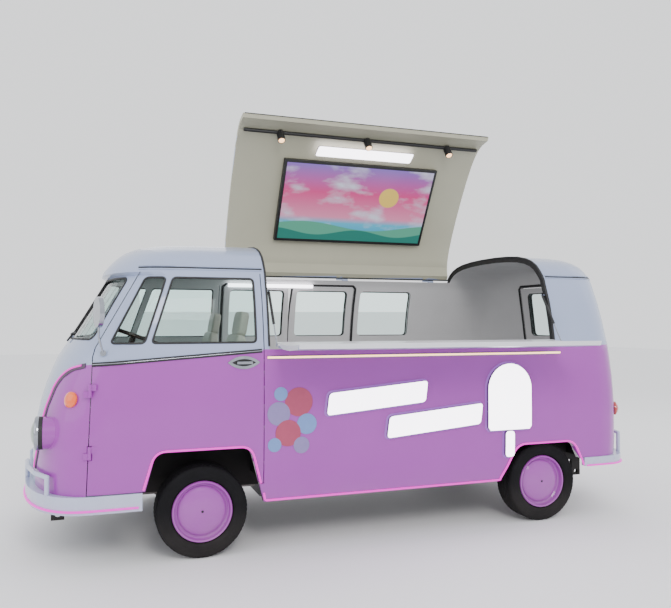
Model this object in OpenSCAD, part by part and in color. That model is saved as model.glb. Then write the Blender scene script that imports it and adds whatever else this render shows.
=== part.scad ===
// Electric food truck in the style of a round-nosed classic bus.
// +X points forward, +Y to the left (the serving side) and +Z up. The origin is on the ground,
// in the middle of the length and of the width. All sizes are millimetres.

/* [Overall] */
// Length over both bumpers
overall_l = 5000; // [4700:10:5300]
// Width of the body at its widest
body_w = 1900; // [1840:10:1980]
// Height of the roof's crown above the ground
roof_z = 2235; // [2200:5:2300]
// Distance from the front bumper to the front axle
front_overhang = 1200; // [1160:5:1240]
// Distance from the rear bumper to the rear axle
rear_overhang = 1000; // [960:5:1040]

/* [Body heights] */
// Lower edge of the body sides
sill_z = 360; // [340:5:380]
// Lower edge of the nose and of the cab doors
nose_bottom_z = 500; // [490:1:510]
// Lower edge of the tail
tail_bottom_z = 500; // [490:1:510]
// Lower edge of the front bumper
front_bumper_z = 378; // [370:1:390]
// Lower edge of the rear bumper
rear_bumper_z = 430; // [420:1:440]
// Waist line where the lower colour ends
belt_z = 1440; // [1420:5:1450]
// Lower edge of the windscreen frame
cowl_z = 1492; // [1485:1:1500]
// Top of the doors and lower edge of the cab roof
eave_z = 1985; // [1980:1:1995]
// Top face of the floor
floor_z = 520; // [510:5:530]

/* [Body shell] */
// How far the front bumper stands ahead of the nose
front_bumper_reach = 49; // [40:1:60]
// How far the rear bumper stands behind the tail
rear_bumper_reach = 63; // [55:1:75]
// Length of the nose's rounding along the side
nose_round = 480; // [440:10:520]
// Length of the tail's rounding along the side
tail_round = 400; // [360:10:420]
// Squareness of the nose in plan, 2 being an ellipse
nose_power = 2.4; // [2.2:0.1:2.8]
// Squareness of the tail in plan, 2 being an ellipse
tail_power = 2.8; // [2.4:0.1:3.2]
// Thickness of the walls and doors
wall = 45; // [40:1:50]
// Gap round the doors
door_gap = 6; // [5:0.5:8]
// Thickness of the window glass
glass_t = 6; // [4:0.5:8]
// Clearance between seated pieces
seat_clear = 0.2; // [0.1:0.05:0.3]

/* [Serving side] */
// Width of the post between the cab door and the serving opening
post_w = 38; // [34:1:44]
// Length of the closed corner behind the serving opening
rear_corner_l = 847; // [820:1:870]
// Height of the near edge of the closed roof hatch
hatch_edge_z = 2012; // [2008:1:2020]
// Height of the roof hatch's hinge on the far side
hatch_hinge_z = 2064; // [2060:1:2070]
// Thickness of the roof hatch
hatch_t = 36; // [30:1:42]
// Opening angle of the roof hatch as parked
hatch_open = 61; // [50:1:65]
// Thickness of the folding counter
counter_t = 32; // [28:1:36]
// Angle that the counter folds down from closed
counter_open = 104; // [100:1:106]

/* [Wheels] */
// Outer radius of the tyres
tyre_r = 320; // [310:1:330]
// Width of the tyres
tyre_w = 195; // [180:1:205]
// Radius of the wheel's rim
rim_r = 211; // [205:1:216]
// How far the outer faces of the tyres stand inside the body's side
tyre_inset = 48; // [46:1:60]
// Radius of the wheel spindles
spindle_r = 22; // [18:1:26]
// Half-length of the front wheel arches at the sill
front_arch_half = 430; // [420:1:432]
// Half-length of the front wheel arches at their top
front_arch_top = 324; // [310:1:335]
// Height of the front wheel arches above the tyres
front_arch_gap = 112; // [100:1:120]
// Half-length of the rear wheel arches at the sill
rear_arch_half = 415; // [405:1:425]
// Half-length of the rear wheel arches at their top
rear_arch_top = 265; // [250:1:280]
// Height of the rear wheel arches above the tyres
rear_arch_gap = 0; // [0:1:15]
// Rounding of the upper corners of the wheel arches
arch_round = 80; // [60:1:95]

/* [Hidden] */
$fn = 48;
pink = "#c77fc4";
cream = "#d9dde6";
graphite = "#26262b";
steel = "#7d8086";
shine = "#d8d9dc";
nose_x = overall_l / 2 - front_bumper_reach;
tail_x = -overall_l / 2 + rear_bumper_reach;
half_w = body_w / 2;
front_axle_x = overall_l / 2 - front_overhang;
wheelbase = overall_l - front_overhang - rear_overhang;
rear_axle_x = front_axle_x - wheelbase;
front_arch_z = 2 * tyre_r + front_arch_gap;
rear_arch_z = 2 * tyre_r + rear_arch_gap;
track_face_y = half_w - tyre_inset;
gutter_z = eave_z - 25;
far = 4000;

// Sections of the body. Columns: share of the height between two named heights, tuck of the side,
// set-back of the nose, set-back of the tail.
LOWER = [
  [0.00, 35, 21, 17], [0.11, 13, 4, 5], [0.27, 5, 0, 0], [0.50, 0, 21, 2], [0.64, 0, 51, 12],
  [0.76, 0, 88, 25], [0.86, 2, 129, 39], [0.935, 3, 164, 51], [1.00, 5, 207, 63]
];
UPPER = [[0.135, 16, 255, 73], [0.404, 40, 341, 89], [0.69, 74, 431, 107], [1.00, 128, 526, 125]];
ROOF = [
  [0.00, 135, 486, 130], [0.14, 153, 496, 137], [0.34, 190, 536, 152], [0.53, 234, 583, 175],
  [0.70, 300, 636, 212], [0.82, 380, 701, 250], [0.91, 490, 791, 310], [0.97, 650, 931, 400],
  [1.00, 830, 1100, 500]
];

function between(a, b, share) = a + (b - a) * share;
function raised(rows, a, b) = [for (r = rows) [between(a, b, r[0]), r[1], r[2], r[3]]];
LEVELS = concat(raised(LOWER, sill_z, belt_z), raised(UPPER, belt_z, gutter_z), raised(ROOF, eave_z, roof_z));

// Values of the skin at any height
function column(k) = [for (l = LEVELS) [l[0], l[k]]];
function half_at(z) = half_w - lookup(z, column(1));
function nose_at(z) = nose_x - lookup(z, column(2));
function tail_at(z) = tail_x + lookup(z, column(3));

// One quarter of a plan outline: a superellipse from the side to the middle of the nose or tail
corner_steps = 10;
function quarter(x0, reach, half, power) = [
  for (i = [0:corner_steps]) let (t = 90 * i / corner_steps)
    [x0 + reach * pow(sin(t), 2 / power), half * pow(cos(t), 2 / power)]
];
function mirrored(points) = [for (i = [len(points) - 2:-1:0]) [points[i][0], -points[i][1]]];
function outline(half, x_front, x_rear, in) =
  let (front = quarter(x_front - nose_round, nose_round - in, half - in, nose_power),
       rear = quarter(x_rear + tail_round, in - tail_round, half - in, tail_power),
       tail = [for (i = [len(rear) - 1:-1:0]) rear[i]])
  concat(front, mirrored(front), [for (i = [0:len(rear) - 1]) [rear[i][0], -rear[i][1]]],
         [for (i = [1:len(tail) - 1]) tail[i]]);
function outline_at(z, in) = outline(half_at(z), nose_at(z), tail_at(z), in);
// How far a rounded end lies behind its tip at the distance y from the centre plane
function set_back(y, reach, half, power) = reach * (1 - pow(1 - pow(y / half, power), 1 / power));
function nose_skin_x(y, z) = nose_at(z) - set_back(y, nose_round, half_at(z), nose_power);
function tail_skin_x(y, z) = tail_at(z) + set_back(y, tail_round, half_at(z), tail_power);

// A level's ring in space. The inset turns from sideways at the eave to downwards at the crown.
function turn_of(z) = 90 * min(1, max(0, (z - eave_z) / (roof_z - eave_z)));
function ring(l, in) = [
  for (p = outline(half_w - l[1], nose_x - l[2], tail_x + l[3], in * cos(turn_of(l[0]))))
    [p[0], p[1], l[0] - in * sin(turn_of(l[0]))]
];
// Height of the roof's inner face at the distance y from the centre plane
function under_roof(y, in) = lookup(-y, [
  for (l = raised(ROOF, eave_z, roof_z))
    [l[1] + in * cos(turn_of(l[0])) - half_w, l[0] - in * sin(turn_of(l[0]))]
]);
function roof_slope(y, in) = atan((under_roof(y - 1, in) - under_roof(y + 1, in)) / 2);

// The solid inside the skin, set in by the given distance: a stack of layers between the sections
module skin(in = 0) {
  foot = [[LEVELS[0][0] - 2 * wall, LEVELS[0][1], LEVELS[0][2], LEVELS[0][3]]];
  rows = in > 0 ? concat(foot, LEVELS) : LEVELS;
  for (i = [0:len(rows) - 2]) {
    a = ring(rows[i], in);
    b = ring(rows[i + 1], in);
    hull() polyhedron(concat(a, b), [[for (k = [0:len(a) - 1]) k], [for (k = [0:len(b) - 1]) len(a) + k]]);
  }
}

// Part of the shell that lies in the region given as children
module panel(thickness = wall) {
  difference() {
    intersection() {
      skin();
      union() children();
    }
    skin(thickness);
  }
}

// A slab between two heights, and prisms across and along the truck
module slab(x0, x1, y0, y1, z0, z1) {
  translate([x0, y0, z0]) cube([x1 - x0, y1 - y0, z1 - z0]);
}
module across(y0, y1) {
  translate([0, y1, 0]) rotate([90, 0, 0]) linear_extrude(y1 - y0) children();
}
module along(x0, x1) {
  translate([x0, 0, 0]) rotate([90, 0, 90]) linear_extrude(x1 - x0) children();
}
module rounded(r) {
  offset(r = r) offset(delta = -r) children();
}
module both_sides() {
  children();
  mirror([0, 1, 0]) children();
}

// A round bar along a list of points
module bar(points, r) {
  for (i = [0:len(points) - 2]) {
    d = points[i + 1] - points[i];
    translate(points[i])
      rotate([0, acos(d[2] / norm(d)), atan2(d[1], d[0])]) cylinder(r = r, h = norm(d));
    if (i > 0) translate(points[i]) sphere(r + 0.5);
  }
}

// Cab door and its hinge line
door_rear_x = front_axle_x - 420;
door_low_x = nose_x - 389;
door_top_x = nose_x - 735;
pillar_x = nose_x - 439;
screen_back_x = door_top_x - 116;
hinge_x = door_low_x - 14;
door_mid_z = (nose_bottom_z + belt_z) / 2;
knuckle_r = 12;
pin_r = 6;
run_clear = 0.05;
knuckle_h = 42;
knuckle_gap = 0.3;
leaf_l = 40;
leaf_t = 16;
// Doors at the back and on the far side
post_x = door_rear_x - door_gap;
serve_front_x = post_x - post_w;
serve_rear_x = tail_x + rear_corner_l;
cargo_leaf_l = 670;
cargo_split_x = serve_front_x - door_gap - cargo_leaf_l;
cargo_rear_x = cargo_split_x - cargo_leaf_l;
cargo_low_z = sill_z + 90;
cargo_top_z = eave_z;
rear_half = half_w - 550;
front_guard_h = 116;
rear_guard_h = 160;
guard_r = 16;
rear_low_z = tail_bottom_z + rear_guard_h + guard_r + 2 * door_gap;
tail_split_x = tail_x + 437;
// Hinge lines of the hatch and of the counter
function side_y(x, z, in = 0) =
  lookup(x, quarter(nose_at(z) - nose_round, nose_round - in, half_at(z) - in, nose_power));
hatch_axis_y = -half_at(hatch_hinge_z) - 6;
counter_axis_z = belt_z + 15;
counter_axis_y = half_at(counter_axis_z) + 6;
serve_end_gap = 6;
strut_x = [serve_front_x - 22, serve_rear_x + 22];
strut_top_z = belt_z + 420;
strut_top_y = half_at(strut_top_z) - 28;
foot_z = belt_z + 120;
foot_y = half_at(foot_z) - 22;

// Knuckle pairs of the doors. Columns: axis x, axis y, turn about the vertical, mirrored to the right,
// heights of the knuckles.
HINGES = [
  [hinge_x, side_y(hinge_x, door_mid_z) + 8, 0, 0, [nose_bottom_z + 235, belt_z - 300]],
  [hinge_x, side_y(hinge_x, door_mid_z) + 8, 0, 1, [nose_bottom_z + 235, belt_z - 300]],
  [serve_front_x - door_gap / 2, half_at(door_mid_z) + 8, 0, 1, [cargo_low_z + 250, belt_z - 190]],
  [cargo_rear_x + door_gap / 2, -half_at(door_mid_z) - 8, 180, 0, [cargo_low_z + 250, belt_z - 190]],
  [tail_x + 5, rear_half + door_gap / 2, 90, 1, [rear_low_z + 80, belt_z - 420]]
];
module at_hinge(row) {
  mirror([0, row[3], 0]) translate([row[0], row[1], 0]) rotate([0, 0, row[2]])
    for (z = row[4]) translate([0, 0, z]) children();
}
module leaf(side, grow) {
  z0 = side > 0 ? 0 : knuckle_h + knuckle_gap;
  translate([side > 0 ? 0 : -leaf_l - grow, -leaf_t - knuckle_r - grow, z0 - grow])
    cube([leaf_l + grow, leaf_t + knuckle_r + grow, knuckle_h + 2 * grow]);
}
// Room round the knuckles, and the pocket for one of the leaves
module hinge_room(row, side) {
  at_hinge(row) {
    translate([0, 0, -door_gap]) cylinder(r = knuckle_r + door_gap, h = 2 * knuckle_h + 2 * door_gap);
    if (side != 0) leaf(side, seat_clear);
    leaf(side > 0 ? -1 : 1, door_gap);
  }
}
module fixed_knuckles(row) {
  at_hinge(row) {
    cylinder(r = knuckle_r, h = knuckle_h);
    cylinder(r = pin_r, h = 2 * knuckle_h);
    difference() {
      leaf(1, 0);
      translate([0, 0, -1]) cylinder(r = knuckle_r - 1, h = 2 * knuckle_h);
    }
  }
}
module door_knuckles(row) {
  at_hinge(row) difference() {
    union() {
      translate([0, 0, knuckle_h + knuckle_gap]) cylinder(r = knuckle_r, h = knuckle_h);
      leaf(-1, 0);
    }
    cylinder(r = pin_r + run_clear, h = 3 * knuckle_h);
  }
}

// Outlines seen from the side
// Wheel arches. Columns: axle x, half-length at the sill, half-length at the top, top z.
ARCHES = [
  [front_axle_x, front_arch_half, front_arch_top, front_arch_z],
  [rear_axle_x, rear_arch_half, rear_arch_top, rear_arch_z]
];
arch_drop = 200;
module arch_shape(a) {
  foot = a[1] + (a[1] - a[2]) * arch_drop / (a[3] - sill_z);
  rounded(arch_round) polygon([
    [a[0] - foot, sill_z - arch_drop], [a[0] - a[2], a[3]], [a[0] + a[2], a[3]],
    [a[0] + foot, sill_z - arch_drop]
  ]);
}
module arches() {
  for (a = ARCHES) arch_shape(a);
}
module door_shape(grow) {
  difference() {
    offset(delta = grow) polygon([
      [door_low_x, nose_bottom_z], [door_rear_x, nose_bottom_z], [door_rear_x, eave_z],
      [door_top_x, eave_z], [pillar_x, belt_z + 22], [pillar_x + 18, belt_z - 40]
    ]);
    if (grow <= 0) arches();
  }
}
window_low_z = belt_z + 50;
window_top_z = eave_z - 40;
module door_windows(grow) {
  offset(delta = grow) rounded(25) polygon([
    [door_top_x - 166, window_top_z], [door_top_x - 31, window_top_z],
    [door_top_x + 205, window_low_z], [door_top_x - 14, window_low_z]
  ]);
  offset(delta = grow) rounded(25) polygon([
    [door_rear_x + 52, window_top_z], [door_top_x - 213, window_top_z],
    [door_top_x - 61, window_low_z], [door_rear_x + 52, window_low_z]
  ]);
}
module box_window(x0, x1, grow) {
  offset(delta = grow) rounded(40) polygon([
    [x0, window_low_z], [x1, window_low_z], [x1, window_top_z], [x0, window_top_z]
  ]);
}
// Outlines seen from the front. The outer corners of the screen keep off the door at the depth of the glass.
screen_post = 28;
screen_off = 20;
glass_in = wall / 2 - glass_t / 2;
function door_front_x(z) = lookup(z, [[belt_z + 22, pillar_x], [eave_z, door_top_x]]);
function screen_y(z) = side_y(door_front_x(z) + door_gap + screen_off, z, glass_in + glass_t);
screen_low_z = cowl_z + 22;
screen_top_z = gutter_z - 12;
module screen_pane(grow) {
  offset(delta = grow) rounded(35) polygon([
    [screen_post, screen_low_z], [screen_y(screen_low_z), screen_low_z],
    [screen_y(screen_top_z), screen_top_z],
    [screen_post, screen_top_z]
  ]);
}
module rear_window(grow) {
  offset(delta = grow) rounded(45) polygon([
    [-rear_half + 95, window_low_z], [rear_half - 95, window_low_z], [rear_half - 95, window_top_z - 20],
    [-rear_half + 95, window_top_z - 20]
  ]);
}
// Glass pane of the given outline, in the middle of the wall
module pane() {
  difference() {
    intersection() {
      skin(glass_in);
      union() children();
    }
    skin(glass_in + glass_t);
  }
}

// Headlamps, set square to the road with their inner edge at the skin
lamp_r = 108;
lamp_y = half_w - 270;
lamp_z = sill_z + 525;
lamp_out = 20;
lamp_l = 190;
lamp_x = nose_skin_x(lamp_y - lamp_r, lamp_z) + lamp_out;
// Marker lamps, square to the skin. Columns: x, y, z, turn about the vertical, tilt upwards, radius.
front_marker_y = half_w - 101;
front_marker_z = sill_z + 760;
rear_marker_y = half_w - 126;
rear_marker_z = sill_z + 520;
stem_r = 40;
MARKERS = [
  [nose_skin_x(front_marker_y, front_marker_z), front_marker_y, front_marker_z, 45, 11.4, 52],
  [tail_skin_x(rear_marker_y, rear_marker_z), rear_marker_y, rear_marker_z, 146, 0, 58]
];
module at_marker(m) {
  translate([m[0], m[1], m[2]]) rotate([0, 90 - m[4], m[3]]) children();
}
// Clearance hole that a round piece still fits where the hole has flat sides
module round_hole(r, h) {
  cylinder(r = (r + seat_clear) / cos(180 / $fn), h = h);
}
module marker_holes() {
  both_sides() for (m = MARKERS) at_marker(m) translate([0, 0, -70]) round_hole(stem_r, 200);
}

module nose() {
  color(pink) difference() {
    panel() slab(0, far, -far, far, nose_bottom_z - door_gap, cowl_z);
    both_sides() across(half_w - 500, far) door_shape(door_gap);
    slab(-far, screen_back_x, -far, far, 0, far);
    for (i = [0, 1]) hinge_room(HINGES[i], 1);
    both_sides() translate([lamp_x - lamp_l - 1, lamp_y, lamp_z]) rotate([0, 90, 0])
      round_hole(lamp_r, 2 * lamp_l);
    marker_holes();
  }
}
module windscreen_frame() {
  color(cream) difference() {
    panel() slab(screen_back_x, far, -far, far, cowl_z, eave_z);
    both_sides() across(300, far) door_shape(door_gap);
    both_sides() along(screen_back_x, far) screen_pane(0);
  }
}
module windscreen_glass() {
  color("#9fb4bd") pane() both_sides() along(screen_back_x, far) screen_pane(-seat_clear);
}
module cab_roof() {
  color(cream) difference() {
    panel() {
      slab(serve_front_x, far, -far, far, eave_z, far);
      slab(serve_front_x, post_x, -far, far, belt_z, eave_z + 1);
    }
  }
}
// Lower side on the left, which dips to a foot below the cab door and stops at the rear bumper
module side_lower() {
  panel() {
    slab(tail_split_x, post_x, 0, far, sill_z, belt_z);
    slab(post_x - 1, front_axle_x, 0, far, sill_z, nose_bottom_z - door_gap);
  }
}
module side_cuts() {
  across(-far, far) arches();
  slab(-far, rear_axle_x, -far, far, 0, tail_bottom_z);
}
module side_left() {
  color(pink) difference() {
    side_lower();
    side_cuts();
    for (x = COUNTER_KNUCKLES) tube_leaf(x, counter_axis_y, counter_axis_z, 1, seat_clear);
  }
}
module cargo_hole(x0, x1, grow) {
  slab(x0 - grow, x1 + grow, -far, 0, cargo_low_z - grow, cargo_top_z + grow);
}
module side_right() {
  color(pink) difference() {
    union() {
      mirror([0, 1, 0]) side_lower();
      panel() slab(serve_rear_x, serve_front_x, -far, 0, belt_z - 1, hatch_hinge_z - 16);
    }
    side_cuts();
    across(-far, 0) box_window(serve_rear_x + 425, cargo_rear_x - 80, 0);
    cargo_hole(cargo_rear_x, serve_front_x - door_gap, 0);
    for (i = [2, 3]) hinge_room(HINGES[i], 1);
    for (x = HATCH_KNUCKLES) tube_leaf(x, hatch_axis_y, hatch_hinge_z, -1, seat_clear);
  }
}
module side_glass() {
  color("#9fb4bd") pane() across(-far, 0) box_window(serve_rear_x + 425, cargo_rear_x - 80, -seat_clear);
}
module rear_hole(grow) {
  slab(-far, tail_split_x, -rear_half - grow, rear_half + grow, rear_low_z - grow, eave_z + grow);
}
module tail_upper() {
  color(cream) difference() {
    panel() slab(-far, serve_rear_x, -far, far, belt_z, far);
    rear_hole(0);
  }
}
module tail_lower() {
  color(pink) difference() {
    panel() slab(-far, tail_split_x, -far, far, tail_bottom_z, belt_z);
    rear_hole(0);
    across(-far, far) arches();
    hinge_room(HINGES[4], 1);
    marker_holes();
  }
}

module cab_door() {
  difference() {
    panel() across(300, far) door_shape(0);
    across(0, far) door_windows(0);
    hinge_room(HINGES[0], -1);
  }
}
module door_left() {
  color(pink) cab_door();
}
module door_right() {
  color(pink) mirror([0, 1, 0]) cab_door();
}
module cab_door_glass() {
  pane() across(0, far) door_windows(-seat_clear);
}
module door_left_glass() {
  color("#9fb4bd") cab_door_glass();
}
module door_right_glass() {
  color("#9fb4bd") mirror([0, 1, 0]) cab_door_glass();
}
// Room that a cargo leaf sweeps about its hinge, so that it passes the other leaf
module leaf_sweep(row, reach) {
  mirror([0, row[3], 0]) translate([row[0], row[1], 0]) cylinder(r = reach, h = far, $fn = 240);
}
module cargo_door_front() {
  color(pink) {
    difference() {
      intersection() {
        panel() cargo_hole(cargo_split_x, serve_front_x - door_gap, -door_gap / 2);
        leaf_sweep(HINGES[2], cargo_leaf_l);
      }
      across(-far, 0) box_window(cargo_split_x + 65, serve_front_x - 65, 0);
      hinge_room(HINGES[2], 0);
    }
    door_knuckles(HINGES[2]);
  }
}
module cargo_door_front_glass() {
  color("#9fb4bd") pane() across(-far, 0) box_window(cargo_split_x + 65, serve_front_x - 65, -seat_clear);
}
module cargo_door_rear() {
  color(pink) {
    difference() {
      intersection() {
        panel() cargo_hole(cargo_rear_x, cargo_split_x, -door_gap / 2);
        leaf_sweep(HINGES[3], cargo_leaf_l);
      }
      across(-far, 0) box_window(cargo_rear_x + 65, cargo_split_x - 65, 0);
      hinge_room(HINGES[3], 0);
    }
    door_knuckles(HINGES[3]);
  }
}
module cargo_door_rear_glass() {
  color("#9fb4bd") pane() across(-far, 0) box_window(cargo_rear_x + 65, cargo_split_x - 65, -seat_clear);
}
module rear_door() {
  color(pink) {
    difference() {
      intersection() {
        panel() rear_hole(-door_gap);
        leaf_sweep(HINGES[4], 2 * rear_half - door_gap / 2);
      }
      along(-far, 0) rear_window(0);
      hinge_room(HINGES[4], 0);
    }
    door_knuckles(HINGES[4]);
  }
}
module rear_door_glass() {
  color("#9fb4bd") pane() intersection() {
    along(-far, 0) rear_window(-seat_clear);
    slab(-far, tail_split_x, -far, far, 0, far);
  }
}

// Knuckles of the hatch and of the counter, by the middle of each pair
tube_r = 9;
tube_pin_r = 5;
tube_l = 60;
hatch_x0 = serve_rear_x + serve_end_gap;
hatch_x1 = serve_front_x - serve_end_gap;
function spread(inset) = [hatch_x1 - inset, (hatch_x0 + hatch_x1) / 2, hatch_x0 + inset];
HATCH_KNUCKLES = spread(230);
COUNTER_KNUCKLES = spread(330);
module fixed_tubes(places, y, z, side) {
  for (x = places) {
    translate([x - tube_l, y, z]) rotate([0, 90, 0]) cylinder(r = tube_r, h = tube_l - knuckle_gap);
    translate([x - tube_l, y, z]) rotate([0, 90, 0]) cylinder(r = tube_pin_r, h = 2 * tube_l);
    tube_leaf(x, y, z, side, 0);
  }
}
module tube_leaf(x, y, z, side, grow) {
  slab(x - tube_l - grow, x - knuckle_gap + grow, min(y, y - 20 * side) - grow, max(y, y - 20 * side) + grow,
       z - 50 - grow, z);
}
module moving_tubes(places, y, z, side, reach) {
  for (x = places) difference() {
    union() {
      translate([x, y, z]) rotate([0, 90, 0]) cylinder(r = tube_r, h = tube_l);
      slab(x, x + tube_l, min(y, y - reach * side), max(y, y - reach * side), z + 3, z + 24);
    }
    translate([x - 1, y, z]) rotate([0, 90, 0]) cylinder(r = tube_pin_r + run_clear, h = tube_l + 2);
  }
}
module hatch_parked() {
  translate([0, hatch_axis_y, hatch_hinge_z]) rotate([hatch_open, 0, 0])
    translate([0, -hatch_axis_y, -hatch_hinge_z]) children();
}
module counter_parked() {
  translate([0, counter_axis_y, counter_axis_z]) rotate([-counter_open, 0, 0])
    translate([0, -counter_axis_y, -counter_axis_z]) children();
}
module hatch_shell() {
  color(cream) hatch_parked() {
    panel(hatch_t) along(hatch_x0, hatch_x1) polygon([
      [-far, hatch_hinge_z + 8], [0, hatch_hinge_z + 8], [0, hatch_edge_z], [far, hatch_edge_z],
      [far, far], [-far, far]
    ]);
    moving_tubes(HATCH_KNUCKLES, hatch_axis_y, hatch_hinge_z, -1, 36);
  }
}
// Screen and light track under the hatch
screen_half_y = 400;
screen_t = 45;
screen_up_z = under_roof(screen_half_y, hatch_t) - seat_clear;
module hatch_screen() {
  color(graphite) hatch_parked()
    slab(hatch_x0 + 389, hatch_x1 - 460, -screen_half_y, screen_half_y, screen_up_z - screen_t, screen_up_z);
}
track_y = 640;
track_r = 16;
track_z = under_roof(track_y, hatch_t) - (track_r + seat_clear) / cos(roof_slope(track_y, hatch_t));
track_in = 40;
spot_r = 34;
spot_l = 95;
SPOTS = spread(370);
module light_track() {
  color(graphite) hatch_parked() {
    translate([hatch_x0 + track_in, track_y, track_z]) rotate([0, 90, 0])
      cylinder(r = track_r, h = hatch_x1 - hatch_x0 - 2 * track_in);
    for (x = SPOTS) translate([x, track_y, track_z]) rotate([150, 0, 0]) cylinder(r = spot_r, h = spot_l);
  }
}
// Folding counter, short of the opening's ends, where the struts lie when it is closed
counter_end = 34;
module counter() {
  color(cream) counter_parked() {
    panel(counter_t) along(hatch_x0 + counter_end, hatch_x1 - counter_end) polygon([
      [0, counter_axis_z + 13], [far, counter_axis_z + 13], [far, hatch_edge_z - 7], [0, hatch_edge_z - 7]
    ]);
    moving_tubes(COUNTER_KNUCKLES, counter_axis_y, counter_axis_z, 1, 24);
    for (i = [0, 1]) translate([strut_x[i], foot_y, foot_z]) rotate([0, i == 0 ? -90 : 90, 0])
      translate([0, 0, eye_t / 2 + knuckle_gap]) cylinder(r = 6, h = counter_end - 22 + serve_end_gap);
  }
}

// Gas struts of the counter, drawn as parked
function turned(p, c, a) = [
  c[0] + (p[0] - c[0]) * cos(a) - (p[1] - c[1]) * sin(a),
  c[1] + (p[0] - c[0]) * sin(a) + (p[1] - c[1]) * cos(a)
];
strut_top = [strut_top_y, strut_top_z];
foot_closed = [foot_y, foot_z];
foot_parked = turned(foot_closed, [counter_axis_y, counter_axis_z], -counter_open);
strut_long = norm(foot_parked - strut_top);
strut_short = norm(foot_closed - strut_top);
strut_tilt = atan2(foot_parked[1] - strut_top[1], foot_parked[0] - strut_top[0]);
barrel_r = 10;
rod_r = 4.5;
rod_bore_r = 5;
eye_r = 9;
eye_t = 2 * rod_r + 1;
barrel_l = strut_short - 30;
module at_struts() {
  for (x = strut_x) translate([x, strut_top_y, strut_top_z]) rotate([strut_tilt, 0, 0]) children();
}
module strut_barrels() {
  color(graphite) at_struts() difference() {
    union() {
      translate([-eye_t / 2, 0, 0]) rotate([0, 90, 0]) cylinder(r = eye_r, h = eye_t);
      rotate([-90, 0, 0]) cylinder(r = 4, h = 14);
      translate([0, 12, 0]) rotate([-90, 0, 0]) cylinder(r = barrel_r, h = barrel_l - 12);
    }
    translate([-far / 2, 0, 0]) rotate([0, 90, 0]) cylinder(r = 5 + run_clear, h = far);
    translate([0, 20, 0]) rotate([-90, 0, 0]) cylinder(r = rod_bore_r, h = barrel_l);
  }
}
module strut_rods() {
  color(shine) at_struts() {
    translate([0, barrel_l - 30, 0]) rotate([-90, 0, 0])
      cylinder(r = rod_r, h = strut_long - barrel_l + 30);
    translate([-eye_t / 2, strut_long, 0]) rotate([0, 90, 0]) cylinder(r = eye_r, h = eye_t);
  }
}

// Hinge pieces that stay on the body
module hinges() {
  color(shine) {
    for (row = HINGES) fixed_knuckles(row);
    fixed_tubes(HATCH_KNUCKLES, hatch_axis_y, hatch_hinge_z, -1);
    fixed_tubes(COUNTER_KNUCKLES, counter_axis_y, counter_axis_z, 1);
    translate([strut_x[0] - 6, strut_top_y, strut_top_z]) rotate([0, 90, 0])
      cylinder(r = 5, h = serve_front_x - strut_x[0] + 6 - seat_clear);
    translate([serve_rear_x + seat_clear, strut_top_y, strut_top_z]) rotate([0, 90, 0])
      cylinder(r = 5, h = strut_x[1] - serve_rear_x + 6 - seat_clear);
  }
}
// Door handle on a lens-shaped plate, and mirror on a bent arm
handle_z = belt_z - 91;
handle_x = door_rear_x + 143;
handle_half = 86;
handle_h = 50;
grip_l = 110;
function lens_r(half, h) = (half * half + h * h / 4) / h;
module handle() {
  r = lens_r(handle_half, handle_h);
  rotate([-90, 0, 0]) intersection() {
    translate([0, r - handle_h / 2, 0]) cylinder(r = r, h = 6);
    translate([0, handle_h / 2 - r, 0]) cylinder(r = r, h = 6);
  }
  for (s = [-1, 1]) translate([s * grip_l / 3, 0, 0]) rotate([-90, 0, 0]) cylinder(r = 9, h = 30);
  translate([-grip_l / 2, 24, -9]) cube([grip_l, 12, 18]);
}
mirror_r = 100;
mirror_t = 30;
foot_r = 20;
module mirror_arm() {
  stand_x = pillar_x - 45;
  stand_z = belt_z - 12;
  foot = [stand_x, side_y(stand_x - 0.85 * foot_r, stand_z - 0.55 * foot_r) + seat_clear, stand_z];
  elbow = foot + [30, 60, 110];
  translate(foot) rotate([-90, 0, 0]) cylinder(r = foot_r, h = 12);
  bar([foot + [0, 6, 0], elbow, elbow + [0, 30, 70]], 7);
  translate(elbow + [0, 30, 60 + mirror_r]) rotate([0, 90, 12])
    cylinder(r = mirror_r, h = mirror_t, center = true);
}
module door_fittings(row) {
  door_knuckles(row);
  translate([handle_x, half_at(handle_z - handle_h / 2) + seat_clear, handle_z]) handle();
  mirror_arm();
}
module door_left_fittings() {
  color(shine) door_fittings(HINGES[0]);
}
module door_right_fittings() {
  color(shine) mirror([0, 1, 0]) door_fittings(HINGES[0]);
}

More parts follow.
